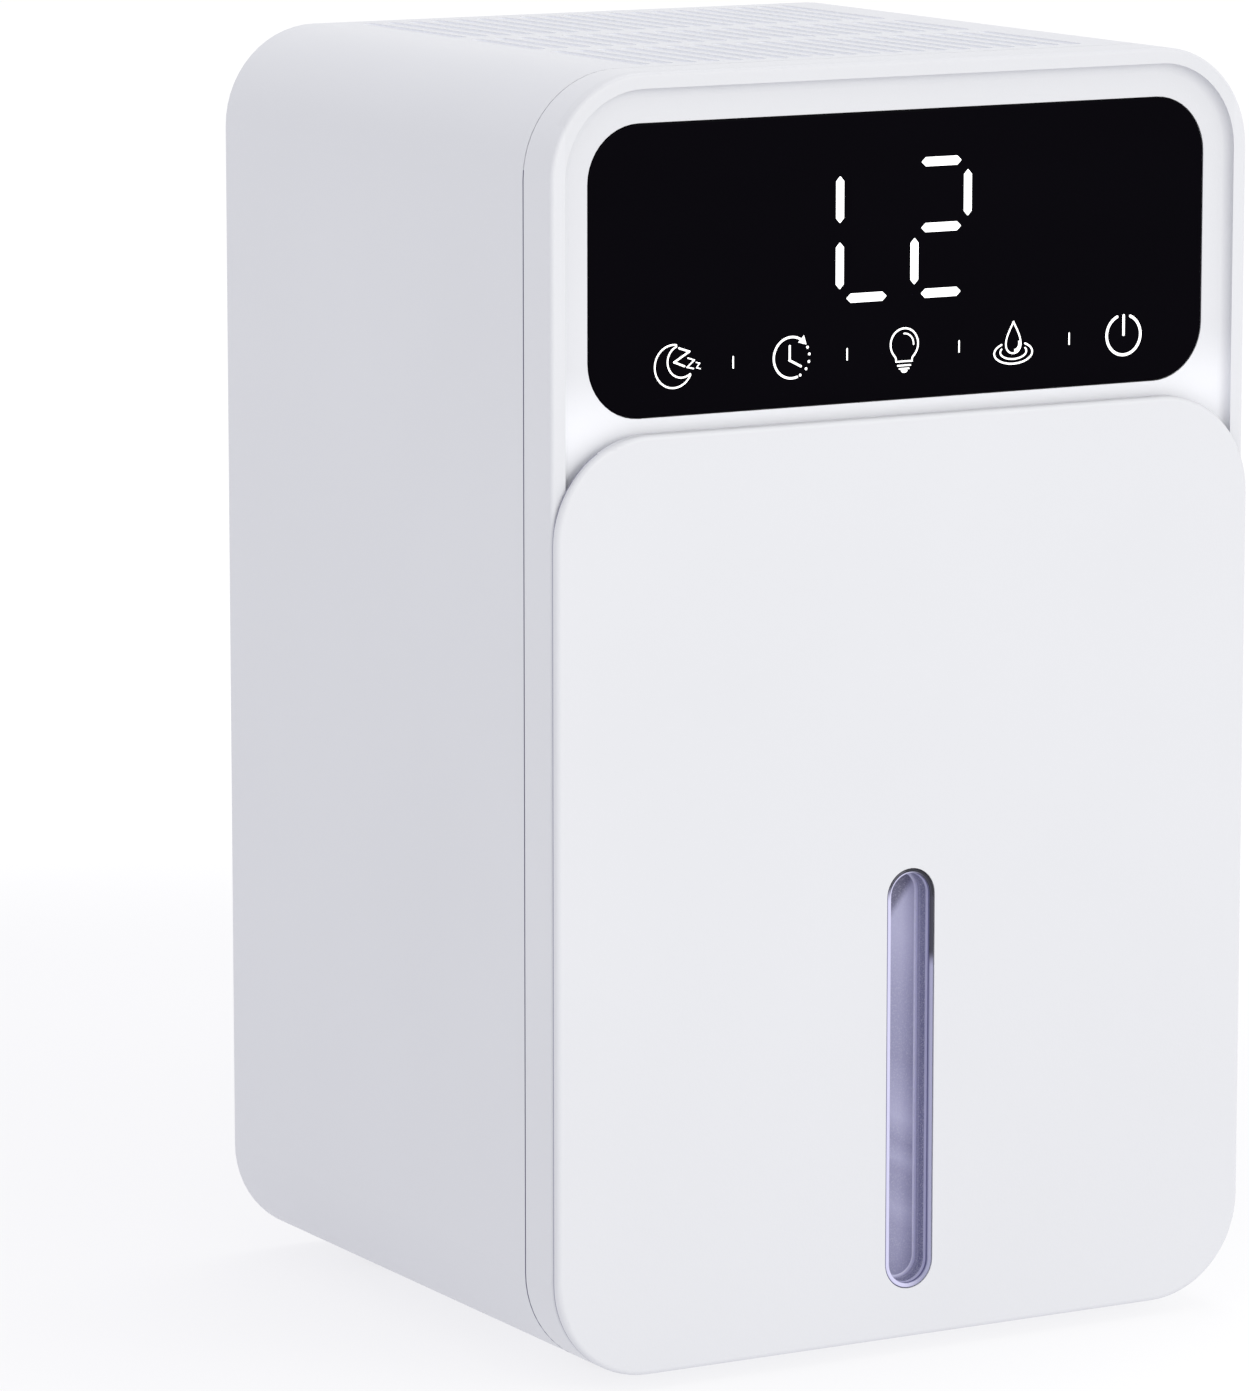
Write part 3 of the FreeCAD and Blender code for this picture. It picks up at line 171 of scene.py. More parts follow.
class Desk:
    """Node tree of one material, with one method that adds any node."""

    def __init__(self, name: str) -> None:
        """Make an empty material.

        Args:
            name: name of the material.
        """
        self.material = bpy.data.materials.new(name)
        self.material.use_nodes = True
        self.tree = self.material.node_tree
        self.tree.nodes.clear()
        self._place: dict[str, Wire] = {}

    def node(self, kind: str, settings: dict[str, Any], sockets: dict[Any, Value],
             output: Any = 0) -> Any:
        """Add a node.

        Args:
            kind: type of the node.
            settings: properties of the node, set first. A ramp's stops are under "stops".
            sockets: number, colour or wire for each input, by name or index.
            output: name or index of the output that is returned, or None.

        Returns:
            The chosen output as a wire, or None.
        """
        made = self.tree.nodes.new(kind)
        for name, value in settings.items():
            if name == "stops":
                self._set_stops(made.color_ramp, value)
            else:
                setattr(made, name, value)
        for key, value in sockets.items():
            socket = made.inputs[key]
            if isinstance(value, Wire):
                self.tree.links.new(value.socket, socket)
            else:
                socket.default_value = (*value, 1.0) if socket.type == "RGBA" else value
        return None if output is None else Wire(self, made.outputs[output])

    @staticmethod
    def _set_stops(ramp: bpy.types.ColorRamp, stops: Sequence[tuple[float, Colour]]) -> None:
        """Set the stops of a colour ramp.

        Args:
            ramp: the ramp.
            stops: place and colour of each stop, in order.
        """
        while len(ramp.elements) < len(stops):
            ramp.elements.new(0.5)
        for element, (place, colour) in zip(ramp.elements, stops):
            element.position = place
            element.color = (*colour, 1.0)

    def place(self, axis: str) -> Wire:
        """Object coordinate.

        Args:
            axis: X, Y or Z, or "all" for the three of them.

        Returns:
            The coordinate.
        """
        if not self._place:
            everything = self.node("ShaderNodeTexCoord", {}, {}, "Object")
            self._place = {name: self.node("ShaderNodeSeparateXYZ", {}, {0: everything}, name)
                           for name in "XYZ"}
            self._place["all"] = everything
        return self._place[axis]

    def noise(self, scale: float, detail: float = 2.0, stretch: Triple = (1.0, 1.0, 1.0)) -> Wire:
        """Noise on object coordinates.

        Args:
            scale: spots per metre.
            detail: octaves.
            stretch: factor on each axis, small for streaks along it.

        Returns:
            Value round 0.5.
        """
        where = self.place("all")
        if stretch != (1.0, 1.0, 1.0):
            where = self.node("ShaderNodeMapping", {}, {"Vector": where, "Scale": stretch})
        sockets = {"Vector": where, "Scale": scale, "Detail": detail}
        return self.node("ShaderNodeTexNoise", {}, sockets)

    def cells(self, scale: float) -> Wire:
        """Distance from the middle of each of so many cells per metre."""
        return self.node("ShaderNodeTexVoronoi", {}, {"Vector": self.place("all"), "Scale": scale})

    def blend(self, share: Value, first: Value, second: Value) -> Wire:
        """Mix of two colours, with this share of the second."""
        return self.node("ShaderNodeMix", {"data_type": "RGBA"}, {0: share, 6: first, 7: second}, 2)

    def bump(self, height: Wire, depth: float) -> Wire:
        """Normal of a height pattern that goes from 0 to 1 over this depth."""
        return self.node("ShaderNodeBump", {}, {"Strength": 1.0, "Distance": depth, "Height": height})

    def close(self, sockets: dict[str, Value]) -> bpy.types.Material:
        """End the tree in one Principled shader.

        Args:
            sockets: values and wires of the shader.

        Returns:
            The finished material.
        """
        shader = self.node("ShaderNodeBsdfPrincipled", {}, sockets)
        self.node("ShaderNodeOutputMaterial", {}, {"Surface": shader}, None)
        return self.material


# ---------------- finishes
def toned(colour: Colour, factor: float, most: float = 1.0) -> Colour:
    """Colour times a factor, held under the most that it may be."""
    return tuple(min(factor * c, most) for c in colour)


class Finish:
    """A surface finish: each kind says what goes into its shader."""

    name: str

    def build(self) -> bpy.types.Material:
        """Material of the finish."""
        desk = Desk(self.name)
        return desk.close(self.sockets(desk))

    def sockets(self, desk: Desk) -> dict[str, Value]:
        """What each kind of finish puts into its shader."""
        raise NotImplementedError


@dataclass(frozen=True)
class SeamShade:
    """Painted shade: a dark line round a moulding in the gap where it meets its neighbour, up to some height.
    """

    y: float
    half: float
    top: float
    # tint is the colour of the painted shade, share how much of it is laid on
    tint: Colour = (0.13, 0.13, 0.23)
    share: float = 0.8

    def paint(self, desk: Desk, colour: Wire) -> Wire:
        """Colour with the painted shade of the gap on it."""
        inside = (desk.place("Y") - self.y).size().under(self.half) * desk.place("Z").under(self.top)
        return desk.blend(inside * self.share, colour, self.tint)


@dataclass(frozen=True)
class FramePaintedLight:
    """Painted light and shade on the frame's face: lighter just over the panel, a little darker at the head.
    """

    half: float
    back: float
    foot: float
    head: float
    # pale and brightest make the painted light, deep the painted shade
    pale: float = 1.20
    brightest: float = 0.86
    deep: float = 0.95
    pale_share: float = 0.2
    lead_share: float = 0.3

    def paint(self, desk: Desk, colour: Wire, plain: Colour) -> Wire:
        """Paint light and shade on the face, from its foot to its head, and lead into it below the foot.

        Args:
            desk: where the nodes go.
            colour: colour so far.
            plain: the finish's own colour.

        Returns:
            Graded colour.
        """
        z, tall = desk.place("Z"), self.head - self.foot
        face = desk.place("X").size().under(self.half) * desk.place("Y").under(self.back)
        low = z.ramp(self.foot, self.foot + self.pale_share * tall)
        graded = desk.blend(low, toned(plain, self.pale, self.brightest), plain)
        graded = desk.blend(z.ramp(self.foot, self.head), graded, toned(plain, self.deep))
        return desk.blend(face * z.ramp(self.foot - self.lead_share * tall, self.foot), colour, graded)


@dataclass(frozen=True)
class PaintedSlotGlow:
    """Painted light: a glow on the walls inside the slots of the top, so that they look lit."""

    half: float
    front: float
    rear: float
    low: float
    high: float
    # colour of the painted glow
    light: Colour = (0.26, 0.265, 0.285)

    def shine(self, desk: Desk) -> dict[str, Value]:
        """Paint light on the slots' walls as a glow, in a block that is told by half width, depths and
        heights.

        Args:
            desk: where the nodes go.

        Returns:
            Emission sockets of the shader.
        """
        inside = desk.place("X").size().under(self.half) * desk.place("Z").between(self.low, self.high)
        inside = inside * desk.place("Y").between(self.front, self.rear)
        return {"Emission Color": desk.blend(inside, BLACK, self.light), "Emission Strength": 1.0}


@dataclass(frozen=True)
class MouldedPlastic(Finish):
    """Moulded plastic with a fine spark-eroded texture and a faint flow mottle."""

    name: str
    colour: Colour
    roughness: float = 0.42
    grain: float = 2600.0
    grain_depth: float = 0.012 * MM
    mottle: float = 0.02
    reflectivity: float = 1.46
    clearness: float = 0.0
    # Optional painted light and shade: shade in a joint's gap, light and shade on the frame's face, a glow in
    # the top's slots
    gap: SeamShade | None = None
    fade: FramePaintedLight | None = None
    ribs: PaintedSlotGlow | None = None

    def sockets(self, desk: Desk) -> dict[str, Value]:
        """Let tint and roughness follow a wide noise and the texture a fine one.

        Args:
            desk: where the nodes go.

        Returns:
            Sockets of the shader.
        """
        wide = desk.noise(scale=14.0, detail=3.0)
        fine = desk.noise(self.grain)
        colour = desk.blend(wide, self.colour, toned(self.colour, 1.0 - 2.0 * self.mottle))
        # painted light and shade on the frame's face, where given
        if self.fade:
            colour = self.fade.paint(desk, colour, self.colour)
        # painted shade in the gap at a joint, where given
        if self.gap:
            colour = self.gap.paint(desk, colour)
        return {
            "Base Color": colour,
            "Roughness": wide * 0.06 + fine * 0.06 + (self.roughness - 0.06),
            "IOR": self.reflectivity,
            "Transmission Weight": self.clearness,
            "Normal": desk.bump(fine, self.grain_depth),
            # painted glow on the walls of the top's slots, where given
            **(self.ribs.shine(desk) if self.ribs else {}),
        }


@dataclass(frozen=True)
class DisplayGlass(Finish):
    """Black printed glass, almost without reflection, with faint wiping marks."""

    name: str = "display_black_glass"
    colour: Colour = (0.0014, 0.0011, 0.0022)
    reflectivity: float = 1.07

    def sockets(self, desk: Desk) -> dict[str, Value]:
        """Let the roughness follow long soft marks.

        Args:
            desk: where the nodes go.

        Returns:
            Sockets of the shader.
        """
        marks = desk.noise(scale=60.0, detail=3.0, stretch=(0.35, 1.0, 1.0))
        return {
            "Base Color": desk.blend(marks, self.colour, toned(self.colour, 1.35)),
            "Roughness": marks * 0.06 + 0.05,
            "IOR": self.reflectivity,
            "Normal": desk.bump(desk.noise(scale=25.0, detail=1.0), 0.01 * MM),
        }


@dataclass(frozen=True)
class LitSymbol(Finish):
    """White light behind the glass, a touch uneven over its area."""

    name: str = "symbol_light"
    plastic: Colour = (0.8, 0.8, 0.8)
    weak: Colour = (0.94, 0.95, 0.98)

    def sockets(self, desk: Desk) -> dict[str, Value]:
        """Let the glow fall a little with a soft noise.

        Args:
            desk: where the nodes go.

        Returns:
            Sockets of the shader.
        """
        uneven = desk.noise(scale=420.0, detail=1.0)
        return {
            "Base Color": self.plastic,
            "Roughness": uneven * 0.1 + 0.4,
            "Emission Color": desk.blend(uneven, WHITE, self.weak),
            "Emission Strength": 1.0,
        }


@dataclass(frozen=True)
class ClearTray(Finish):
    """Smoky grained clear plastic of the level window, with light and shade painted on: painted highlights
    and shade round the lip and wall, a painted dark reflection on the lip, and painted bands of light and a
    painted shadow on the floor.

    Marks along the profile are in centimetres from the foot of the lip. Bands and rings are
    places with their shares between the painted shade at 0 and the painted light at 1, and beyond them.
    """

    name: str = "window_clear_plastic"
    # Tones of the tray in painted light and in painted shade
    light: Colour = (0.412, 0.405, 0.595)
    dark: Colour = (0.194, 0.192, 0.330)
    # painted shade on the lip's right side, and the painted shadow of the lip on the floor
    lip_right_shade: Colour = (0.27, 0.27, 0.42)
    lip_shadow_colour: Colour = (0.085, 0.08, 0.15)
    speck: Colour = (0.50, 0.50, 0.62)
    # painted dark reflection on the lip's top and right side
    dark_reflection: Colour = (0.012, 0.012, 0.022)
    low: float = 12.8 * MM
    high: float = 95.4 * MM
    centre_x: float = 0.5 * MM
    crest_mark: float = 0.09
    lip_mark: float = 0.137
    wall_mark: float = 0.27
    floor_mark: float = 0.64
    # Painted bands of light and shade on the floor
    BANDS: ClassVar[Sequence[tuple[float, float]]] = (
        (0.0, 0.34), (0.14, 0.42), (0.185, 0.70), (0.235, 0.38), (0.27, 0.38), (0.295, 0.74),
        (0.335, 0.36), (0.40, 0.88), (0.54, 0.34), (0.70, 0.50), (0.84, 0.88), (1.0, 0.88))
    # Painted highlights on the lip's top, the ledge and the cove, with painted shade between them
    RINGS: ClassVar[Sequence[tuple[float, float]]] = (
        (0.0, -0.45), (0.035, -0.40), (0.048, 1.7), (0.135, 1.7), (0.142, -0.3), (0.185, -0.3),
        (0.195, 1.2), (0.262, 1.2), (0.272, -0.30), (0.43, -0.12), (0.45, 0.45), (0.53, 0.45),
        (0.545, 1.7), (0.64, 1.7))

    def sockets(self, desk: Desk) -> dict[str, Value]:
        """Take the painted light and shade from the ring of the profile, and on the floor from slanted
        painted bands.

        Args:
            desk: where the nodes go.

        Returns:
            Sockets of the shader.
        """
        height = (desk.place("Z") - self.low) / (self.high - self.low)
        across = desk.place("X") - self.centre_x
        right = across.ramp(-2.0 * MM, 3.5 * MM)
        grain = desk.noise(2600.0)
        layer = desk.node("ShaderNodeUVMap", {"uv_map": "profile"}, {})
        mark = desk.node("ShaderNodeSeparateXYZ", {}, {0: layer}, "Y")
        floor, lip = mark.over(self.floor_mark), mark.under(self.lip_mark)
        # painted shade on the lip's right side
        tone = desk.blend(lip * right, self._toned(desk, self.RINGS, mark), self.lip_right_shade)
        colour = desk.blend(floor, tone, self._water_light_and_shadow(desk, height, across))
        wall = mark.over(self.wall_mark) * (1.0 - floor)
        speckle = (grain - 0.5).size() * 4.5
        colour = desk.blend(speckle * (floor * 0.28 + wall * 0.7), colour, self.speck)
        # painted dark reflection on the lip's top and right side
        crest = height.ramp(0.925, 0.965) * mark.under(self.crest_mark)
        shade = lip * (height.ramp(0.76, 0.80) * right + crest)
        return {
            "Base Color": desk.blend(shade * 0.92, colour, self.dark_reflection),
            "Roughness": grain * 0.16 + 0.10,
            "IOR": 1.40,
            "Coat Weight": lip * (0.5 - shade * 0.5),
            "Coat Roughness": 0.04,
            "Normal": desk.bump(grain, 0.02 * MM),
        }

    def _water_light_and_shadow(self, desk: Desk, height: Wire, across: Wire) -> Wire:
        """Painted bands of light on the floor, under a painted shadow of the lip at its upper left.

        Args:
            desk: where the nodes go.
            height: share of the window's height.
            across: distance from its middle.

        Returns:
            Colour of the floor.
        """
        drift = (desk.noise(70.0) - 0.5) * 0.06
        bands = self._toned(desk, self.BANDS, height + drift + across * 6.5)
        # painted shadow of the lip on the floor's upper left
        lip_shadow = (height + drift * 0.4 - across * 14.8).ramp(0.885, 0.925)
        return desk.blend(lip_shadow * 0.9, bands, self.lip_shadow_colour)

    def _toned(self, desk: Desk, shares: Sequence[tuple[float, float]], where: Wire) -> Wire:
        """Colour of a ramp whose stops are shares between dark and light.

        Args:
            desk: where the nodes go.
            shares: place and share of each stop.
            where: place on the ramp.

        Returns:
            Colour.
        """
        light, dark = np.array(self.light), np.array(self.dark)
        stops = [(place, np.clip(dark + (light - dark) * share, 0.0, 0.9).tolist())
                 for place, share in shares]
        return desk.node("ShaderNodeValToRGB", {"stops": stops}, {0: where})


@dataclass(frozen=True)
class Metal(Finish):
    """Metal with drawn or brushed streaks."""

    name: str
    colour: Colour
    roughness: float = 0.32
    stretch: Triple = (1.0, 1.0, 0.02)

    def sockets(self, desk: Desk) -> dict[str, Value]:
        """Let streaks of noise shift the tint, the roughness and the surface.

        Args:
            desk: where the nodes go.

        Returns:
            Sockets of the shader.
        """
        streaks = desk.noise(scale=1800.0, detail=3.0, stretch=self.stretch)
        return {
            "Base Color": desk.blend(streaks, self.colour, toned(self.colour, 0.8)),
            "Roughness": streaks * 0.25 + (self.roughness - 0.1),
            "Metallic": 1.0,
            "Normal": desk.bump(streaks, 0.015 * MM),
        }


@dataclass(frozen=True)
class Grained(Finish):
    """Rubber, foam or ceramic: a dull surface with pores or specks."""

    name: str
    colour: Colour
    specks: Colour
    roughness: float
    cells: float
    depth: float

    def sockets(self, desk: Desk) -> dict[str, Value]:
        """Let the distance in each cell drive the specks and the bump.

        Args:
            desk: where the nodes go.

        Returns:
            Sockets of the shader.
        """
        share = desk.cells(self.cells).ramp(0.1, 0.75)
        return {
            "Base Color": desk.blend(share, self.specks, self.colour),
            "Roughness": share * 0.1 + (self.roughness - 0.05),
            "Normal": desk.bump(share, self.depth),
        }


@dataclass(frozen=True)
class CircuitBoard(Finish):
    """Green solder mask over copper tracks laid out on a square grid, with plated holes."""

    name: str = "solder_mask_green"
    mask: Colour = (0.010, 0.090, 0.035)
    over_track: Colour = (0.025, 0.190, 0.070)
    plating: Colour = (0.72, 0.70, 0.62)
    track: float = 2.54 * MM
    line_edge: tuple[float, float] = (0.4 * MM, 0.6 * MM)
    hole_edge_squared: tuple[float, float] = (0.1 * MM * MM, 0.2 * MM * MM)

    def sockets(self, desk: Desk) -> dict[str, Value]:
        """Run tracks where a coarse noise lets a fine grid through.

        Args:
            desk: where the nodes go.

        Returns:
            Sockets of the shader.
        """
        along, across = (desk.place(axis).repeat(self.track).size() for axis in "XZ")
        turn = desk.noise(scale=120.0, detail=0.0).over(0.5)
        line = 1.0 - (along * turn + across * (1.0 - turn)).ramp(*self.line_edge)
        hole = 1.0 - (along * along + across * across).ramp(*self.hole_edge_squared)
        plated = hole * desk.noise(scale=300.0, detail=0.0).over(0.56)
        masked = desk.blend(line, self.mask, self.over_track)
        return {
            "Base Color": desk.blend(plated, masked, self.plating),
            "Metallic": plated * 0.9,
            "Roughness": 0.42 - line * 0.1,
            "Normal": desk.bump(line, 0.03 * MM),
        }


@dataclass(frozen=True)
class PowerParts(Finish):
    """One finish for the control board's coil, capacitors, sockets and chips, by their places."""

    can_x: tuple[float, float]
    coil: tuple[float, float]
    sockets_z: float
    name: str = "power_parts_mixed"
    coil_radius: float = 8.2 * MM
    cans_up: float = 10.0 * MM
    resin: Colour = (0.012, 0.012, 0.014)
    worn_resin: Colour = (0.02, 0.02, 0.023)
    copper: Colour = (0.62, 0.26, 0.10)
    sleeve: Colour = (0.03, 0.05, 0.16)
    nylon: Colour = (0.78, 0.77, 0.72)

    def sockets(self, desk: Desk) -> dict[str, Value]:
        """Let distances on the board choose copper, sleeve, pale nylon or black resin.

        Args:
            desk: where the nodes go.

        Returns:
            Sockets of the shader.
        """
        x, z = desk.place("X"), desk.place("Z")
        off_x, off_z = x - self.coil[0], z - self.coil[1]
        wound = (off_x * off_x + off_z * off_z).under(self.coil_radius ** 2)
        rings = {"Vector": desk.place("all"), "Scale": 260.0}
        turns = desk.node("ShaderNodeTexWave", {"wave_type": "RINGS"}, rings)
        cans = x.between(*self.can_x) * z.over(self.coil[1] + self.cans_up)
        fine = desk.noise(2400.0)
        colour = desk.blend(wound, desk.blend(fine, self.resin, self.worn_resin), self.copper)
        colour = desk.blend(cans * (1.0 - wound), colour, self.sleeve)
        return {
            "Base Color": desk.blend(z.over(self.sockets_z), colour, self.nylon),
            "Metallic": wound * 0.9,
            "Roughness": fine * 0.1 + 0.35,
            "Normal": desk.bump(turns * wound + fine * 0.1, 0.08 * MM),
        }


@dataclass(frozen=True)
class LeadJacket(Finish):
    """Soft lead covering, in one colour or in two told apart by a plane across X."""

    name: str
    colour: Colour
    other: Colour
    border_x: float
    dust: Colour = (0.3, 0.3, 0.3)

    def sockets(self, desk: Desk) -> dict[str, Value]:
        """Let the border pick the colour and a noise dull it.

        Args:
            desk: where the nodes go.

        Returns:
            Sockets of the shader.
        """
        fine = desk.noise(1300.0)
        colour = desk.blend(desk.place("X").over(self.border_x), self.colour, self.other)
        return {
            "Base Color": desk.blend(fine * 0.3, colour, self.dust),
            "Roughness": fine * 0.15 + 0.45,
            "Normal": desk.bump(fine, 0.02 * MM),
        }


# ---------------- surfaces
def round_angles(steps: int) -> np.ndarray:
    """Angles of so many points round a circle."""
    return np.linspace(0.0, FULL_TURN, steps, endpoint=False)


def arc(centre: Sequence[float], radii: Sequence[float], start: float, end: float,
        steps: int) -> np.ndarray:
    """Arc of an ellipse between two angles in degrees: centre plus radii times cosine and sine."""
    angle = np.radians(np.linspace(start, end, steps))
    return np.column_stack([centre[0] + radii[0] * np.cos(angle), centre[1] + radii[1] * np.sin(angle)])


def turn_normals(path: np.ndarray, closed: bool) -> np.ndarray:
    """Unit normals to the right of a flat path.

    Each is the path's direction, taken between the two neighbours, turned by a quarter.

    Args:
        path: points, N by 2.
        closed: whether the path comes back to its start.

    Returns:
        Normals, N by 2.
    """
    ahead = np.roll(path, -1, axis=0)
    behind = np.roll(path, 1, axis=0)
    if not closed:
        ahead[-1], behind[0] = path[-1], path[0]
    way = ahead - behind
    way = way / np.maximum(np.linalg.norm(way, axis=1, keepdims=True), 1e-12)
    return np.column_stack([way[:, 1], -way[:, 0]])


def rounded_loop(box: Sequence[float], radius: float, steps: int) -> np.ndarray:
    """Rectangle with round corners, anticlockwise: corner centre plus radius times cosine and sine.

    Args:
        box: low x, high x, low z, high z.
        radius: radius of the corners.
        steps: points on each corner.

    Returns:
        Points and outward normals, N by 4.
    """
    left, right, foot, head = box[0] + radius, box[1] - radius, box[2] + radius, box[3] - radius
    arcs = []
    for turns, centre in enumerate(((right, foot), (right, head), (left, head), (left, foot)), -1):
        angle = np.linspace(0.0, QUARTER, steps) + turns * QUARTER
        facing = np.column_stack([np.cos(angle), np.sin(angle)])
        arcs.append(np.hstack([np.array(centre) + radius * facing, facing]))
    return np.vstack(arcs)


def put(name: str, data: bpy.types.ID) -> bpy.types.Object:
    """Put a new object in the scene.

    Args:
        name: name of the object.
        data: its mesh, light or camera.

    Returns:
        The object.
    """
    made = bpy.data.objects.new(name, data)
    bpy.context.scene.collection.objects.link(made)
    return made


class Mould:
    """Gathers closed surfaces and makes one piece of them."""

    def __init__(self) -> None:
        """Start empty."""
        self.points: list[np.ndarray] = []
        self.faces: list[list[int]] = []
        self.shares: list[np.ndarray] = []
        self.count = 0

    def _take(self, points: np.ndarray, faces: list[list[int]]) -> None:
        """Keep one closed part, turned so that it encloses a positive volume.

        Args:
            points: vertices, N by 3.
            faces: vertex numbers of each face.
        """
        fans = np.array([(f[0], a, b) for f in faces for a, b in zip(f[1:], f[2:])])
        a, b, c = points[fans[:, 0]], points[fans[:, 1]], points[fans[:, 2]]
        volume = np.einsum("ij,ij->i", a - points[0], np.cross(b - points[0], c - points[0])).sum()
        if volume < 0:
            faces = [f[::-1] for f in faces]
        self.faces += [[v + self.count for v in f] for f in faces]
        self.points.append(points)
        self.count += len(points)

    def grid(self, grid: np.ndarray, wrap_rows: bool = False, shares: np.ndarray | None = None) -> None:
        """Add a surface on a grid whose columns close on themselves.

        Args:
            grid: points, rows by columns by 3.
            wrap_rows: join the last row to the first, else close each with a face.
            shares: a value for each row, kept for the finish.
        """
        rows, columns = grid.shape[:2]
        numbers = np.arange(rows * columns).reshape(rows, columns)
        under = np.roll(numbers, -1, axis=0) if wrap_rows else numbers[1:]
        over = numbers if wrap_rows else numbers[:-1]
        quads = np.stack([over, np.roll(over, -1, axis=1), np.roll(under, -1, axis=1), under], axis=-1)
        faces = quads.reshape(-1, 4).tolist()
        if not wrap_rows:
            faces += [numbers[0].tolist()[::-1], numbers[-1].tolist()]
        if shares is not None:
            self.shares.append(np.repeat(shares, columns))
        self._take(grid.reshape(-1, 3), faces)

    def turned(self, profile: np.ndarray, centre: Vector, axis: Axis, steps: int,
               ring: bool = False) -> None:
        """Add a turned part: each profile point (radius, height) goes round the axis.

        Args:
            profile: radius and height pairs, from axis to axis, or a closed loop for a ring.
            centre: point on the axis at height 0.
            axis: the way that heights grow.
            steps: points round.
            ring: whether the profile is a closed loop.
        """
        angle = round_angles(steps)
        radius = np.maximum(profile[:, :1], 1e-7)
        first, second = radius * np.cos(angle), radius * np.sin(angle)
        height = np.repeat(profile[:, 1:], steps, axis=1)
        order = (first, height, second) if axis is Axis.Y else (first, second, height)
        self.grid(np.stack(order, axis=-1) + np.array(centre), wrap_rows=ring)

    def plate(self, outline: np.ndarray, front: float, back: float) -> None:
        """Add a flat plate in the X-Z plane, between two depths."""
        self.grid(np.stack([np.insert(outline, 1, y, axis=1) for y in (front, back)]))

    def stroke(self, path: np.ndarray, width: float, front: float, back: float, closed: bool) -> None:
        """Add a drawn line, as a ribbon of some thickness.

        Args:
            path: points, N by 2.
            width: full width.
            front: y of the front.
            back: y of the back.
            closed: whether the path comes back to its start, else its ends are round.
        """
        half = width / 2
        line, reach = (path, np.full(len(path), half)) if closed else self._round_ended(path, half)
        side = turn_normals(line, closed) * reach[:, None]
        left, right = line - side, line + side
        columns = [np.insert(flat, 1, y, axis=1)
                   for flat, y in ((left, front), (right, front), (right, back), (left, back))]
        self.grid(np.stack(columns, axis=1), wrap_rows=closed)

    @staticmethod
    def _round_ended(path: np.ndarray, half: float) -> tuple[np.ndarray, np.ndarray]:
        """Path made longer by half its width at each end, where its reach is that of a half circle.

        Args:
            path: points, N by 2.
            half: half width of the line.

        Returns:
            Points, N by 2, and the half width at each.
        """
        steps = np.linalg.norm(np.diff(path, axis=0), axis=1)
        length = np.concatenate([[0.0], np.cumsum(steps)])
        way_in, way_out = (path[1] - path[0]) / steps[0], (path[-1] - path[-2]) / steps[-1]
        path = np.vstack([path[0] - way_in * half, path, path[-1] + way_out * half])
        length = np.concatenate([[-half], length, [length[-1] + half]])
        bend = half * (1.0 - np.cos(np.linspace(0.06, QUARTER, 6)))
        stops = np.concatenate([length[0] + bend, length[2:-2], (length[-1] - bend)[::-1]])
        stops = np.unique(np.round(stops, 9))
        line = np.column_stack([np.interp(stops, length, way) for way in path.T])
        edge = np.minimum(np.minimum(stops - length[0], length[-1] - stops), half)
        return line, np.sqrt(np.maximum(half ** 2 - (half - edge) ** 2, 1e-12))

    def piece(self, name: str, body: Body, finish: bpy.types.Material, slot: str,
              sharp: float) -> bpy.types.Object:
        """Make the object, shade it smooth up to an angle, and let it ride.

        Args:
            name: name of the piece.
            body: body that it rides on.
            finish: its material.
            slot: material slot of the record; not used.
            sharp: least angle of a sharp edge, in degrees.

        Returns:
            The piece.
        """
        mesh = bpy.data.meshes.new(name)
        mesh.from_pydata(np.vstack(self.points).tolist(), [], self.faces)
        mesh.materials.append(finish)
        mesh.polygons.foreach_set("use_smooth", [True] * len(mesh.polygons))
        if self.shares:
            corners = np.empty(len(mesh.loops), dtype=np.int32)
            mesh.loops.foreach_get("vertex_index", corners)
            marks = np.concatenate(self.shares)[corners]
            layer = mesh.uv_layers.new(name="profile")
            layer.data.foreach_set("uv", np.column_stack([np.zeros_like(marks), marks]).ravel())
        mesh.update()
        mesh.set_sharp_from_angle(angle=math.radians(sharp))
        made = put(name, mesh)
        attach(made, body.value)
        LOG.info("%s: %d faces", name, len(mesh.polygons))
        return made


# ---------------- display
@dataclass(frozen=True)
class Mark:
    """Line of a symbol, or a filled outline where its width is 0, in millimetres from its middle."""

    points: Sequence[Sequence[float]]
    width_mm: float = 0.0
    closed: bool = False


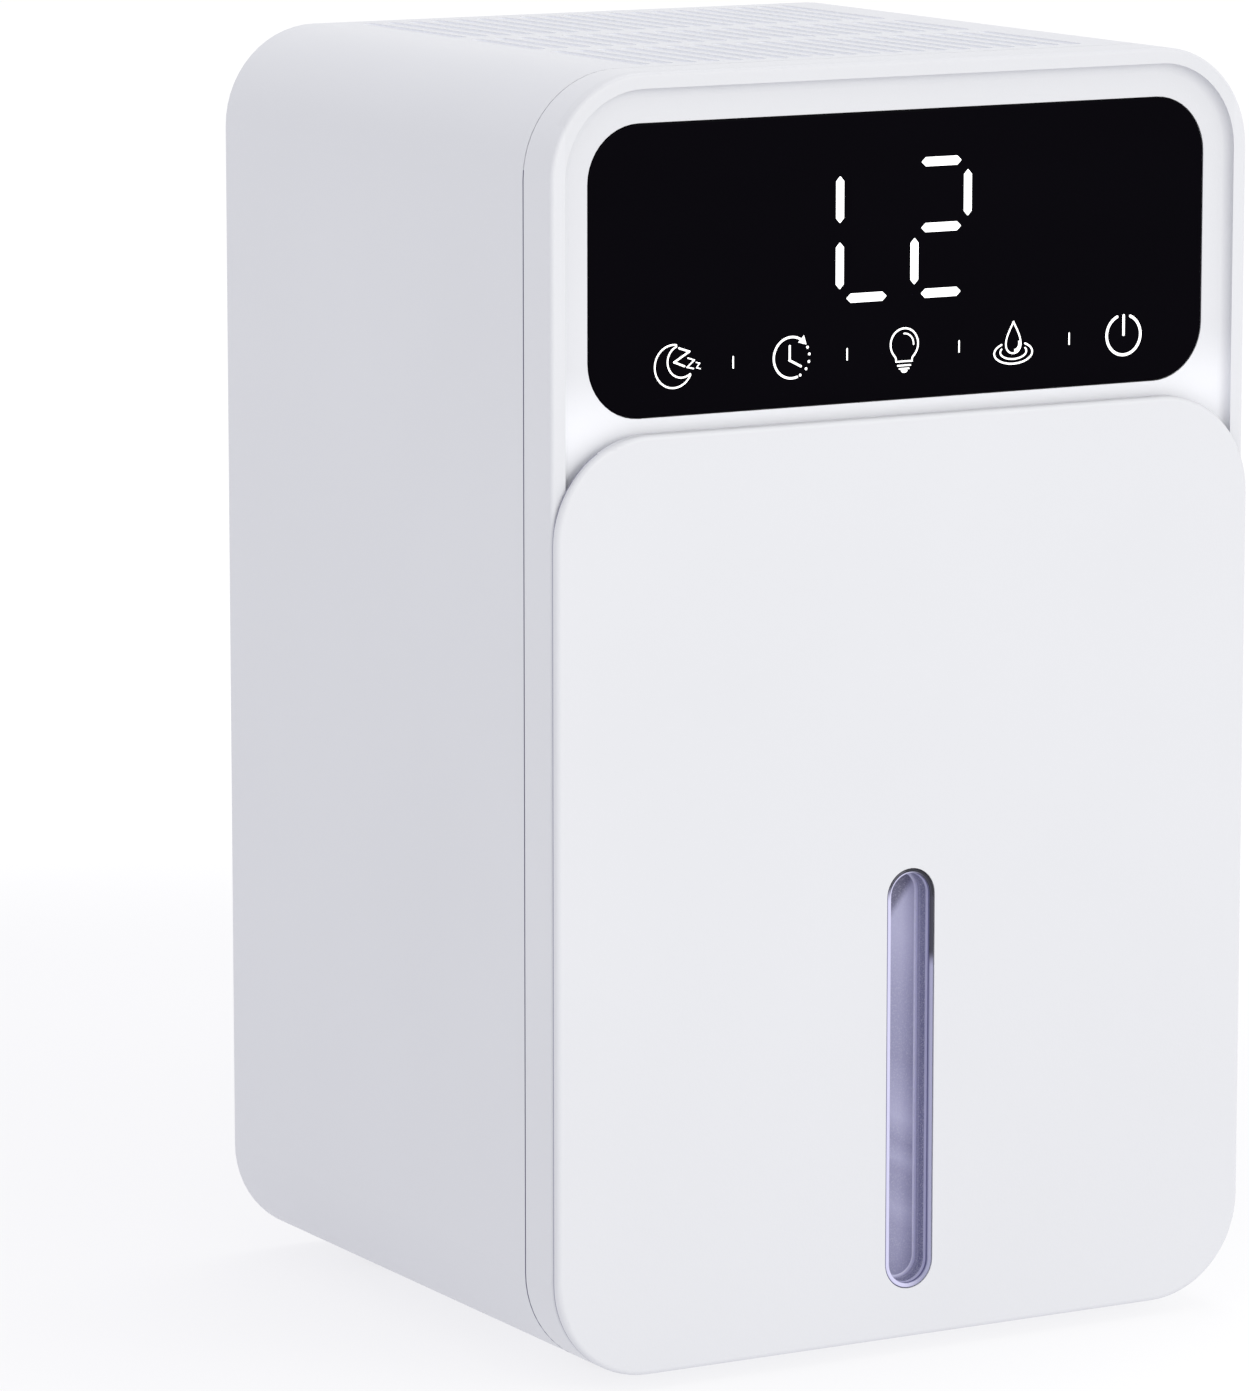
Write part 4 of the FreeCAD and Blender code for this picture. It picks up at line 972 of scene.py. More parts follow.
@dataclass
class DisplayFace:
    """Readout and touch symbols lit in the black glass."""

    digit_gap: float = 11.83 * MM
    bar_gap: float = 25.0 * MM
    digit_x: tuple[float, float] = (-7.9 * MM, 8.6 * MM)
    readout_up: float = 32.35 * MM
    bar_length: float = 8.75 * MM
    bar_width: float = 1.76 * MM
    bar_blunt: float = 0.1
    symbol_up: float = 9.15 * MM
    symbol_x: float = 0.2 * MM
    divider_x: float = 0.36 * MM
    pitch: float = 24.92 * MM
    line_share: float = 0.86
    proud: float = 0.03 * MM
    set_in: float = 0.08 * MM
    sharp: float = 35.0
    lit_bars: tuple[str, str] = ("fed", "abged")

    def __post_init__(self) -> None:
        """Read the glass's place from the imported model."""
        low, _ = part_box("display_lens")
        self.front = low.y - self.proud
        self.back = low.y + self.set_in
        self.foot = low.z

    def build(self, light: bpy.types.Material) -> None:
        """Build both pieces, in the finish of everything lit."""
        for name, mould in (("readout_segments", self._readout()), ("touch_symbols", self._symbols())):
            mould.piece(name, Body.HOUSING, light, "lamp_white", self.sharp)

    def _segment(self, x: float, z: float, upright: bool) -> np.ndarray:
        """Bar with pointed ends.

        Args:
            x: middle along X.
            z: middle along Z.
            upright: whether it stands.

        Returns:
            Outline, N by 2.
        """
        long, half = self.bar_length / 2, self.bar_width / 2
        blunt = self.bar_blunt * half
        end = np.array([(-long, blunt), (-long, -blunt), (-long + half, -half), (long - half, -half)])
        shape = np.vstack([end, -end])
        return (shape[:, ::-1] if upright else shape) + np.array([x, z])

    def _readout(self) -> Mould:
        """Put each lit bar of the two figures at its place of the seven.

        Returns:
            Both figures.
        """
        mould = Mould()
        middle = self.foot + self.readout_up
        side, tall = self.digit_gap / 2, self.bar_gap / 2
        places = {"a": (0, tall, False), "b": (side, tall / 2, True), "d": (0, -tall, False),
                  "e": (-side, -tall / 2, True), "f": (-side, tall / 2, True), "g": (0, 0, False)}
        for centre, lit in zip(self.digit_x, self.lit_bars):
            for x, z, upright in (places[letter] for letter in lit):
                mould.plate(self._segment(centre + x, middle + z, upright), self.front, self.back)
        return mould

    def _symbols(self) -> Mould:
        """Draw five symbols and the four dividers between them.

        Returns:
            All of them.
        """
        mould = Mould()
        symbols = (self._moon(), self._clock(), self._bulb(), self._drop(), self._power())
        for index, marks in enumerate(symbols):
            self._draw(mould, (index - 2) * self.pitch + self.symbol_x, marks)
        divider = Mark([(0, -0.95), (0, 1.15)], 0.34)
        for index in range(len(symbols) - 1):
            self._draw(mould, (index - 1.5) * self.pitch + self.divider_x, [divider])
        return mould

    def _draw(self, mould: Mould, x: float, marks: Iterable[Mark]) -> None:
        """Draw lines and filled shapes round a symbol's middle.

        Args:
            mould: where they go.
            x: middle of the symbol.
            marks: what is drawn.
        """
        middle = np.array([x, self.foot + self.symbol_up])
        for mark in marks:
            points = np.array(mark.points, float) * MM + middle
            if mark.width_mm:
                width = mark.width_mm * self.line_share * MM
                mould.stroke(points, width, self.front, self.back, mark.closed)
            else:
                mould.plate(points, self.front, self.back)

    @staticmethod
    def _moon() -> Iterator[Mark]:
        """Crescent, an outer and an inner arc joined at rounded tips, and three slanted Z strokes.

        Yields:
            Its lines.
        """
        outer = arc((-0.25, 0.1), (4.05, 4.05), 82.0, 334.0, 70)
        inner = arc((1.5, 0.95), (3.05, 3.05), 307.0, 112.0, 50)
        yield Mark(np.vstack([outer, inner]), 0.38, closed=True)
        for corners, width in ((((0.92, 3.45), (3.13, 2.7), (-0.13, 0.87), (2.08, 0.0)), 0.42),
                               (((2.85, 1.49), (4.2, 1.03), (2.68, -0.22), (4.02, -0.55)), 0.30),
                               (((4.62, 0.58), (5.35, 0.37), (4.72, -0.42), (5.5, -0.67)), 0.24)):
            yield from (Mark(ends, width) for ends in zip(corners, corners[1:]))

    @staticmethod
    def _clock() -> Iterator[Mark]:
        """Open ring that ends in an arrowhead, two hands and a dotted side.

        Yields:
            Its lines and dots.
        """
        centre, radii = (0.42, 0.2), (3.9, 3.9)
        yield Mark(arc(centre, radii, 62.0, 288.0, 60), 0.50)
        yield Mark([(0.0, 2.4), (0.0, -0.3)], 0.50)
        yield Mark([(0.0, -0.3), (2.45, -1.55)], 0.50)
        yield Mark([(3.65, 2.5), (3.1, 4.3), (1.85, 3.0)])
        for angle in (27.0, 7.0, -14.0, -36.0, -61.0):
            yield Mark(arc(arc(centre, radii, angle, angle, 1)[0], (0.27, 0.27), 0.0, 345.0, 24))

    @staticmethod
    def _bulb() -> Iterator[Mark]:
        """Lamp bulb: round glass drawn in to a neck, three base lines, a highlight and a tip.

        Yields:
            Its lines and tip.
        """
        centre = (0.37, 1.25)
        glass = arc(centre, (3.05, 3.05), -42.0, 222.0, 60)
        right, left = [(2.05, -2.0), (2.15, -1.35)], [(-1.5, -1.35), (-1.42, -2.0)]
        yield Mark(np.vstack([right, glass, left]), 0.40)
        for left, right, z, width in ((-1.42, 2.05, -2.0, 0.36), (-1.05, 1.75, -2.78, 0.36),
                                      (-0.7, 1.4, -3.4, 0.34)):
            yield Mark([(left, z), (right, z)], width)
        yield Mark(arc(centre, (2.05, 2.05), 92.0, -3.0, 24), 0.34)
        yield Mark(arc((0.36, -3.65), (0.75, 0.55), 180.0, 360.0, 20))

    @staticmethod
    def _drop() -> Iterator[Mark]:
        """Drop over two ripples, as wide as the angle's sine times a power of the half angle's sine.

        Yields:
            Its outline, shade and ripples.
        """
        angle = round_angles(64)
        across = np.sin(angle) * np.abs(np.sin(angle / 2)) ** 1.35
        drop = np.column_stack([-0.08 + 1.68 * across / across.max(), 1.1 + 3.05 * np.cos(angle)])
        yield Mark(drop, 0.38, closed=True)
        lower, middle = drop[(angle > 1.75) & (angle < 3.05)], np.array([-0.08, 0.2])
        inside = middle + (lower - middle) * 0.62
        yield Mark(np.vstack([lower, inside[::-1] + np.array([0.1, -0.05])]))
        yield Mark(arc((-0.08, -1.85), (4.3, 2.1), 128.0, 412.0, 70), 0.40)
        yield Mark(arc((-0.06, -1.65), (2.95, 1.4), 155.0, 385.0, 50), 0.38)

    @staticmethod
    def _power() -> Iterator[Mark]:
        """Ring open at the top with a stem in the gap."""
        yield Mark(arc((0.17, 0.1), (3.87, 3.87), 113.0, 427.0, 80), 0.64)
        yield Mark([(0.17, 3.85), (0.17, 0.15)], 0.62)


# ---------------- level window
@dataclass
class LevelWindow:
    """Clear tray with a rounded lip, a stepped wall and a coved floor, set through the tank panel.

    Its profile is made of inset and depth pairs. An inset goes inwards from the panel's hole.
    """

    flange: float = 2.6 * MM
    flange_front: float = 1.7 * MM
    flange_back: float = 2.4 * MM
    lip: float = 0.95 * MM
    lip_foot: float = 0.50 * MM
    lip_top: float = 0.08 * MM
    wall_gap: float = 0.02 * MM
    floor_depth: float = 5.0 * MM
    floor_edge: float = 0.1 * MM
    cove: float = 0.35 * MM
    draft: float = 0.05 * MM
    step_in: float = 0.15 * MM
    steps: int = 28
    sharp: float = 50.0

    def build(self, finish: bpy.types.Material) -> None:
        """Build the tray in place of the plain one.

        Args:
            finish: clear plastic.
        """
        low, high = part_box("level_window")
        box = (low.x + self.flange, high.x - self.flange, low.z + self.flange, high.z - self.flange)
        loop = rounded_loop(box, (box[1] - box[0]) / 2, self.steps)
        outside, inside = self._outside(high.y - low.y), self._inside()
        rows = [self._row(loop, inset, low.y + depth) for inset, depth in outside + inside]
        mould = Mould()
        mould.grid(np.stack(rows), shares=np.concatenate([np.zeros(len(outside)), self._marks(inside)]))
        tray = mould.piece("window_tray", Body.TANK, finish, "clear_plastic", self.sharp)
        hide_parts("level_window")

    @staticmethod
    def _row(loop: np.ndarray, inset: float, y: float) -> np.ndarray:
        """Outline moved in along its normals, at one depth."""
        return np.insert(loop[:, :2] - loop[:, 2:] * inset, 1, y, axis=1)

    @staticmethod
    def _marks(inside: list[tuple[float, float]]) -> np.ndarray:
        """Add up the lengths along the profile.

        Args:
            inside: inset and depth pairs.

        Returns:
            Length at each pair in centimetres, and 1 for the floor.
        """
        steps = np.linalg.norm(np.diff(np.array(inside), axis=0), axis=1)
        marks = np.concatenate([[0.0], np.cumsum(steps)]) / (10.0 * MM)
        marks[-1] = 1.0
        return marks

    def _outside(self, depth: float) -> list[tuple[float, float]]:
        """Go from the middle of the back outside to the foot of the lip.

        Args:
            depth: depth of the back.

        Returns:
            Inset and depth pairs.
        """
        corner = ((2.4, 0.0), (0.5, 0.0), (0.12, 0.15), (0.0, 0.5))
        back = [(inset * MM, depth - rise * MM) for inset, rise in corner]
        return back + [(0.0, self.flange_back), (-self.flange, self.flange_back),
                       (-self.flange, self.flange_front), (0.0, self.flange_front)]

    def _inside(self) -> list[tuple[float, float]]:
        """Go from the foot of the lip over it, down the stepped wall and onto the floor.

        The lip's two edges and the cove are quarters of ellipses and of a circle.

        Returns:
            Inset and depth pairs.
        """
        turn = [(math.cos(t), math.sin(t)) for t in np.linspace(0.0, QUARTER, 7)]
        foot, top = self.lip_foot, self.lip_top
        outer = [(0.32 * MM * (1 - c), foot - (foot - top) * s) for c, s in turn]
        inner = [(self.lip - 0.22 * MM * (1 - s), top + 0.26 * MM * (1 - c)) for c, s in turn]
        wall = self.lip + self.wall_gap
        foot = wall + self.step_in + self.draft
        ledge = [(wall + share * self.step_in, depth * MM)
                 for share, depth in ((0.0, 1.5), (0.2, 1.6), (0.8, 1.66), (1.0, 1.76))]
        cove = [(foot + self.cove * (1 - c), self.floor_depth - self.cove * (1 - s)) for c, s in turn]
        return outer + inner + ledge + cove + [(foot + self.cove + self.floor_edge, self.floor_depth)]


# ---------------- turned parts
@dataclass
class CrossScrews:
    """Pan-head screws with a cross recess, in place of plain ones. Shares are of the head's sizes."""

    node: str
    axis: Axis
    head_radius: float
    head_height: float
    shank_length: float
    shank_radius: float = 1.45 * MM
    dome_fall: float = 0.45
    arm_half: float = 0.17
    arm_reach: float = 0.6
    recess: float = 0.62
    steps: int = 64
    sharp: float = 30.0
    RINGS: ClassVar[Sequence[float]] = (0.02, 0.08, 0.13, 0.17, 0.2, 0.26, 0.32, 0.4, 0.5, 0.56, 0.62,
                                        0.7, 0.8, 0.9, 0.97, 1.0)

    def build(self, finish: bpy.types.Material) -> None:
        """Build all of the group's screws as one piece.

        Args:
            finish: metal of the screws.
        """
        mould, screw = Mould(), self._screw()
        for seat in self._seats():
            mould.grid(screw + np.array(seat))
        made = mould.piece(self.node + "_cross", Body.HOUSING, finish, "steel", self.sharp)
        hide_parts(self.node)

    def _seats(self) -> list[Triple]:
        """Find the points under the heads, a head's radius inside the corners of the group's box.

        Returns:
            The four points.
        """
        low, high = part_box(self.node)
        wide, deep, tall = ((a + self.head_radius, b - self.head_radius) for a, b in zip(low, high))
        if self.axis is Axis.Y:
            return [(x, high.y - self.head_height, z) for x in wide for z in tall]
        return [(x, y, high.z - self.head_height) for x in wide for y in deep]

    def _screw(self) -> np.ndarray:
        """Work out one screw from its crest to its tip.

        The dome falls with the fourth power of the radius and the recess cuts a cross into it.

        Returns:
            Grid, rings by points by 3, from the point under the head.
        """
        angle, shares = round_angles(self.steps), np.array(self.RINGS)[:, None]
        head, shank = self.head_radius, self.shank_radius
        first, second = head * shares * np.cos(angle), head * shares * np.sin(angle)
        rise = self.head_height * (1.0 - self.dome_fall * shares ** 4) * np.ones(self.steps)
        arm = np.minimum(np.abs(first), np.abs(second)) < self.arm_half * head
        inside = np.maximum(np.abs(first), np.abs(second)) < self.arm_reach * head
        rise = rise - np.where(arm & inside, self.recess * self.head_height * (1.25 - shares), 0.0)
        under = np.array([(head, 0.08 * self.head_height), (0.96 * head, 0.0), (shank, 0.0),
                          (shank, shank - self.shank_length), (0.06 * head, -self.shank_length)])
        first = np.vstack([first, under[:, :1] * np.cos(angle)])
        second = np.vstack([second, under[:, :1] * np.sin(angle)])
        rise = np.vstack([rise, under[:, 1:] * np.ones(self.steps)])
        order = (first, rise, second) if self.axis is Axis.Y else (first, second, rise)
        return np.stack(order, axis=-1)


@dataclass
class FootPads:
    """Turned rubber feet with grip rings underneath."""

    radius: float = 6.0 * MM
    rings: int = 3
    groove: float = 0.35 * MM
    grooved_share: float = 0.93
    edge: float = 0.6 * MM
    top_edge: float = 0.2 * MM
    steps: int = 56
    sharp: float = 40.0

    def build(self, finish: bpy.types.Material) -> None:
        """Build the four feet in place of the plain ones.

        Args:
            finish: rubber.
        """
        low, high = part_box("rubber_feet")
        profile = self._profile(high.z - low.z)
        mould = Mould()
        for x in (low.x + self.radius, high.x - self.radius):
            for y in (low.y + self.radius, high.y - self.radius):
                mould.turned(profile, Vector((x, y, low.z)), Axis.Z, self.steps)
        made = mould.piece("grip_feet", Body.HOUSING, finish, "rubber", self.sharp)
        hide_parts("rubber_feet")

    def _profile(self, tall: float) -> np.ndarray:
        """Draw half a foot: the third power of a raised cosine cuts the grooves, and the edge is round.

        Args:
            tall: height of the foot.

        Returns:
            Radius and height pairs.
        """
        radius, flat = self.radius, self.radius - self.edge
        share = np.linspace(0.0, 1.0, 40)
        wave = np.clip(np.cos(share * self.rings * FULL_TURN) * 0.5 + 0.5, 0.0, 1.0)
        under = np.column_stack([share * flat, self.groove * wave ** 3 * (share < self.grooved_share)])
        turn = np.linspace(0.0, QUARTER, 6)[1:]
        edge = np.column_stack([flat + self.edge * np.sin(turn), self.edge * (1.0 - np.cos(turn))])
        top = [(radius, tall - self.top_edge), (radius - self.top_edge, tall), (0.0, tall)]
        return np.vstack([under, edge, top])


@dataclass
class PowerSocket:
    """Barrel socket: a black body with a chamfered mouth, a metal liner and a round-nosed pin."""

    body_radius: float = 6.5 * MM
    body_edge: float = 0.4 * MM
    nose_radius: float = 4.4 * MM
    nose: float = 2.0 * MM
    nose_edge: float = 0.3 * MM
    bore_radius: float = 2.85 * MM
    mouth: float = 0.55 * MM
    depth: float = 10.0 * MM
    pin_radius: float = 1.05 * MM
    pin_back: float = 0.6 * MM
    pin_root: float = 0.5 * MM
    liner_reach: tuple[float, float] = (-0.12 * MM, 0.02 * MM)
    liner_back: float = 1.2 * MM
    liner_lift: float = 0.2 * MM

    def build(self, resin: bpy.types.Material, metal: bpy.types.Material) -> None:
        """Build the socket's body and its contacts in place of the plain socket.

        Args:
            resin: black plastic.
            metal: plated metal.
        """
        low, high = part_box("dc_jack")
        centre = Vector(((low.x + high.x) / 2, high.y, (low.z + high.z) / 2))
        shell, contacts = Mould(), Mould()
        shell.turned(self._shell(low.y - high.y), centre, Axis.Y, 64)
        made = shell.piece("socket_body", Body.HOUSING, resin, "component_black", 30.0)
        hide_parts("dc_jack")
        contacts.turned(self._pin(), centre, Axis.Y, 40)
        inner, outer = (self.bore_radius + reach for reach in self.liner_reach)
        front, back = -self.liner_back, self.liner_lift - self.depth
        liner = np.array([(outer, back), (outer, front), (inner, front), (inner, back)])
        contacts.turned(liner, centre, Axis.Y, 56, ring=True)
        contacts.piece("socket_contacts", Body.HOUSING, metal, "steel", 40.0)

    def _shell(self, back: float) -> np.ndarray:
        """Draw half the body, from the middle of its back over its mouth to the floor of its bore.

        Args:
            back: height of its back.

        Returns:
            Radius and height pairs.
        """
        body, nose, bore = self.body_radius, self.nose_radius, self.bore_radius
        return np.array([(0.0, back), (body - self.body_edge, back), (body, back + self.body_edge),
                         (body, -self.nose), (nose, -self.nose), (nose, -self.nose_edge),
                         (nose - self.nose_edge, 0.0), (bore + self.mouth, 0.0), (bore, -self.mouth),
                         (bore, -self.depth), (0.0, -self.depth)])

    def _pin(self) -> np.ndarray:
        """Draw half the pin, from its root under the floor to its nose, which is a quarter circle.

        Returns:
            Radius and height pairs.
        """
        turn = np.linspace(0.0, QUARTER, 8)
        root = -self.depth - self.pin_root
        tip = -self.pin_back - self.pin_radius + self.pin_radius * np.sin(turn)
        nose = np.column_stack([self.pin_radius * np.cos(turn), tip])
        return np.vstack([[(0.0, root), (self.pin_radius, root)], nose])


@dataclass
class FanRotor:
    """Rotor with a rounded hub and cambered, twisted blades. Its cup's shares are of its radius."""

    hub_radius: float = 17.5 * MM
    tip_radius: float = 36.9 * MM
    blades: int = 7
    camber: float = 0.9 * MM
    thick: float = 1.5 * MM
    root_pitch: float = 48.0
    pitch_fall: float = 15.0
    root_half: float = 7.0 * MM
    half_growth: float = 0.16
    sink: float = 0.8 * MM
    cup_low: float = 220.6 * MM
    cup_high: float = 239.8 * MM
    cup_wall: float = 1.5 * MM
    cup_edge: float = 1.4 * MM
    roof: tuple[float, float] = (0.6 * MM, 1.6 * MM)
    blade_z: float = 230.0 * MM
    axis_y: float = 2.0 * MM
    sharp: float = 40.0

    def build(self, finish: bpy.types.Material) -> None:
        """Build the rotor in place of the plain one.

        Args:
            finish: plastic of the rotor.
        """
        low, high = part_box("fan_rotor")
        centre = Vector(((low.x + high.x) / 2, self.axis_y, 0.0))
        mould = Mould()
        mould.turned(self._cup(), centre, Axis.Z, 72)
        for index in range(self.blades):
            mould.grid(self._blade(index * FULL_TURN / self.blades, centre))
        made = mould.piece("rotor_blades", Body.FAN, finish, "fan_black", self.sharp)
        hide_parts("fan_rotor")

    def _cup(self) -> np.ndarray:
        """Draw half the hub cup, open below, with a quarter round edge and a shallow ring in its top.

        Returns:
            Radius and height pairs.
        """
        radius, high, edge = self.hub_radius, self.cup_high, self.cup_edge
        bore, wall = self.cup_wall, radius - self.cup_wall
        turn = np.linspace(0.0, QUARTER, 7)
        corner = edge * np.column_stack([np.cos(turn) - 1.0, np.sin(turn) - 1.0]) + [radius, high]
        inside = [(bore, high - self.roof[0]), (bore, high - self.roof[1]), (wall, high - self.roof[1]),
                  (wall, self.cup_low), (radius, self.cup_low)]
        ring = [(radius * share, high - drop * MM)
                for share, drop in ((0.62, 0.0), (0.6, 0.3), (0.56, 0.3), (0.54, 0.0), (0.0, 0.0))]
        return np.vstack([inside, corner, ring])

    def _blade(self, turn: float, centre: Vector) -> np.ndarray:
        """Work out one blade from sections along the radius.

        Each is a thin lens, the cosine and sine of an angle times half its length and thickness. It
        is bent by the camber, turned by the pitch, and wrapped round the hub: x is the square root
        of the radius squared less y squared.

        Args:
            turn: angle of the blade round the axis.
            centre: point on the axis.

        Returns:
            Grid, radii by section points by 3.
        """
        radius = np.linspace(self.hub_radius - self.sink, self.tip_radius, 12)[:, None]
        share = (radius - radius[0]) / (radius[-1] - radius[0])
        pitch = np.radians(self.root_pitch - self.pitch_fall * share)
        half = self.root_half + self.half_growth * (radius - self.hub_radius)
        angle = round_angles(28)[None, :]
        along = half * np.cos(angle)
        across = self.thick / 2 * np.sin(angle) + self.camber * (1.0 - np.cos(angle) ** 2)
        y = along * np.cos(pitch) - across * np.sin(pitch)
        z = along * np.sin(pitch) + across * np.cos(pitch) + self.blade_z
        x = np.sqrt(np.maximum(radius ** 2 - y ** 2, 0.0))
        first = x * math.cos(turn) - y * math.sin(turn) + centre.x
        second = x * math.sin(turn) + y * math.cos(turn) + centre.y
        return np.stack([first, second, z], axis=-1)


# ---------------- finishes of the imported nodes
@dataclass
class Wardrobe:
    """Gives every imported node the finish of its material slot, or a finish of its own."""

    white: Colour = (0.641, 0.647, 0.696)
    black: Colour = (0.02, 0.02, 0.022)
    red: Colour = (0.55, 0.02, 0.02)
    # Places of the painted shade in the gaps, the frame's painted light and shade and the slots' painted glow
    seam_y: float = -55.65 * MM
    seam_half: float = 0.21 * MM
    seam_top: float = 232.0 * MM
    panel_edge_y: float = -66.72 * MM
    panel_edge_half: float = 0.14 * MM
    panel_edge_stop: float = 3.0 * MM
    fade_inset: float = 3.0 * MM
    ribs_half: float = 50.0 * MM
    ribs_reach: tuple[float, float] = (-51.5 * MM, 62.6 * MM)
    ribs_deep: float = 3.0 * MM
    ribs_under: float = 0.05 * MM
    cans_x: tuple[float, float] = (-33.5 * MM, -11.5 * MM)
    coil_up: float = 21.0 * MM
    sockets_down: float = 14.5 * MM
    leads_border_x: float = 15.5 * MM

    def __post_init__(self) -> None:
        """Build each finish once."""
        self.by_slot = {slot: finish.build() for slot, finish in self._slots().items()}
        self.by_node = {node: finish.build() for node, finish in self._nodes().items()}

    def _slots(self) -> dict[str, Finish]:
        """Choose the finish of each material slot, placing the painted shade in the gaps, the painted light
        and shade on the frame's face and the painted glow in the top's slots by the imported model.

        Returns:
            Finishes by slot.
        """
        plastic, white, black = MouldedPlastic, self.white, self.black
        # painted shade in the gap between the front frame and the housing
        seam_shade = SeamShade(self.seam_y, self.seam_half, self.seam_top)
        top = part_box("main_housing")[1].z
        # painted glow on the walls of the top's slots
        ribs = PaintedSlotGlow(self.ribs_half, *self.ribs_reach, top - self.ribs_deep, top - self.ribs_under)
        low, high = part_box("front_frame")
        # painted light and shade on the front frame's face
        fade = FramePaintedLight(high.x - self.fade_inset, low.y + self.fade_inset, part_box("tank_front_panel")[1].z,
                         high.z)
        return {
            "shell_white": plastic("shell_satin_white", white, 0.46, gap=seam_shade, ribs=ribs),
            "front_white": plastic("front_satin_white", white, 0.40, gap=seam_shade, fade=fade),
            "display_black": DisplayGlass(),
            "clear_plastic": ClearTray(),
            "tank_plastic": plastic("tank_frosted_plastic", (0.76, 0.79, 0.85), 0.34, 3200.0,
                                    0.003 * MM, mottle=0.015, reflectivity=1.49, clearness=0.35),
            "chassis_plastic": plastic("chassis_white", (0.60, 0.61, 0.63), 0.55, 1500.0, 0.03 * MM),
            "fan_black": plastic("fan_black", (0.018, 0.018, 0.020), 0.48, 2000.0, 0.02 * MM),
            "aluminium": Metal("extruded_aluminium", (0.80, 0.81, 0.83)),
            "steel": Metal("zinc_plated_steel", (0.68, 0.68, 0.66), 0.30, (0.3, 1.0, 1.0)),
            "copper": Metal("copper_winding", (0.83, 0.43, 0.26), 0.35, (1.0, 1.0, 8.0)),
            "ceramic": Grained("alumina_ceramic", (0.80, 0.80, 0.78), (0.66, 0.66, 0.65), 0.55, 2600.0,
                               0.01 * MM),
            "foam": Grained("seal_foam", (0.06, 0.06, 0.065), (0.015, 0.015, 0.016), 0.95, 1400.0,
                            0.15 * MM),
            "rubber": Grained("foot_rubber", (0.045, 0.045, 0.05), (0.03, 0.03, 0.034), 0.82, 2400.0,
                              0.03 * MM),
            "board_green": CircuitBoard(),
            "component_black": plastic("resin_black", black, 0.38, 1800.0, 0.02 * MM),
            "lamp_white": plastic("lamp_white", (0.86, 0.84, 0.74), 0.30, 1800.0, 0.01 * MM),
            "lead_black": LeadJacket("lead_black", black, black, 0.0),
            "float_plastic": plastic("float_blue_plastic", (0.20, 0.38, 0.62), 0.40, 1600.0, 0.02 * MM),
        }

    def _nodes(self) -> dict[str, Finish]:
        """Choose the finishes of nodes that differ from others with their slot.

        Returns:
            Finishes by node.
        """
        edge_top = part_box("tank_front_panel")[1].z - self.panel_edge_stop
        # painted shade in the gap behind the tank panel's edge
        edge = SeamShade(self.panel_edge_y, self.panel_edge_half, edge_top)
        low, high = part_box("main_board")
        coil = (0.0, low.z + self.coil_up)
        return {
            "tank_front_panel": MouldedPlastic("panel_satin_white", self.white, 0.40, gap=edge),
            "power_components": PowerParts(self.cans_x, coil, high.z - self.sockets_down),
            "peltier_leads": LeadJacket("lead_red_black", self.red, self.black, self.leads_border_x),
        }

    def dress(self) -> None:
        """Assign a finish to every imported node."""
        for part in frame["record"]["subparts"]:
            node = frame["nodes"][part["node"]]
            finish = self.by_node.get(part["node"], self.by_slot[part["material_slot"]])
            for slot in node.material_slots:
                slot.material = finish
            LOG.info("%s wears %s", part["node"], finish.name)


# ---------------- studio
@dataclass(frozen=True)
class FloorGlow(Finish):
    """Pale lit table: it glows more with the distance from the object, so shadows stay pale."""

    name: str = "studio_floor"
    # Painted soft shadow: the glow is dimmer round this centre, behind the object; near is its colour there
    centre: tuple[float, float] = (-0.05, 0.20)
    reach: tuple[float, float] = (0.16, 0.38)
    near: Colour = (0.752, 0.750, 0.768)
    far: Colour = (0.84, 0.84, 0.84)
    tones: tuple[Colour, Colour] = ((0.170, 0.170, 0.174), (0.180, 0.180, 0.184))

    def sockets(self, desk: Desk) -> dict[str, Value]:
        """Let the glow follow the square of the distance from a centre.

        Args:
            desk: where the nodes go.

        Returns:
            Sockets of the shader.
        """
        x, y = desk.place("X") - self.centre[0], desk.place("Y") - self.centre[1]
        away = (x * x + y * y).ramp(self.reach[0] ** 2, self.reach[1] ** 2)
        return {
            "Base Color": desk.blend(desk.noise(3.0), *self.tones),
            "Roughness": 0.9,
            "Specular IOR Level": 0.0,
            "Emission Color": desk.blend(away, self.near, self.far),
            "Emission Strength": 1.0,
        }


@dataclass(frozen=True)
class SoftBox:
    """Square area light aimed at the object."""

    name: str
    place: Triple
    size: float
    watts: float
    tint: Colour
    aim: Triple = (0.0, 0.0, 0.12)

    def hang(self) -> None:
        """Add the light."""
        data = bpy.data.lights.new(self.name, "AREA")
        data.color = self.tint
        data.size = self.size
        data.energy = self.watts
        light = put(self.name, data)
        light.location = self.place
        light.rotation_mode = "QUATERNION"
        light.rotation_quaternion = (Vector(self.aim) - Vector(self.place)).to_track_quat("-Z", "Y")


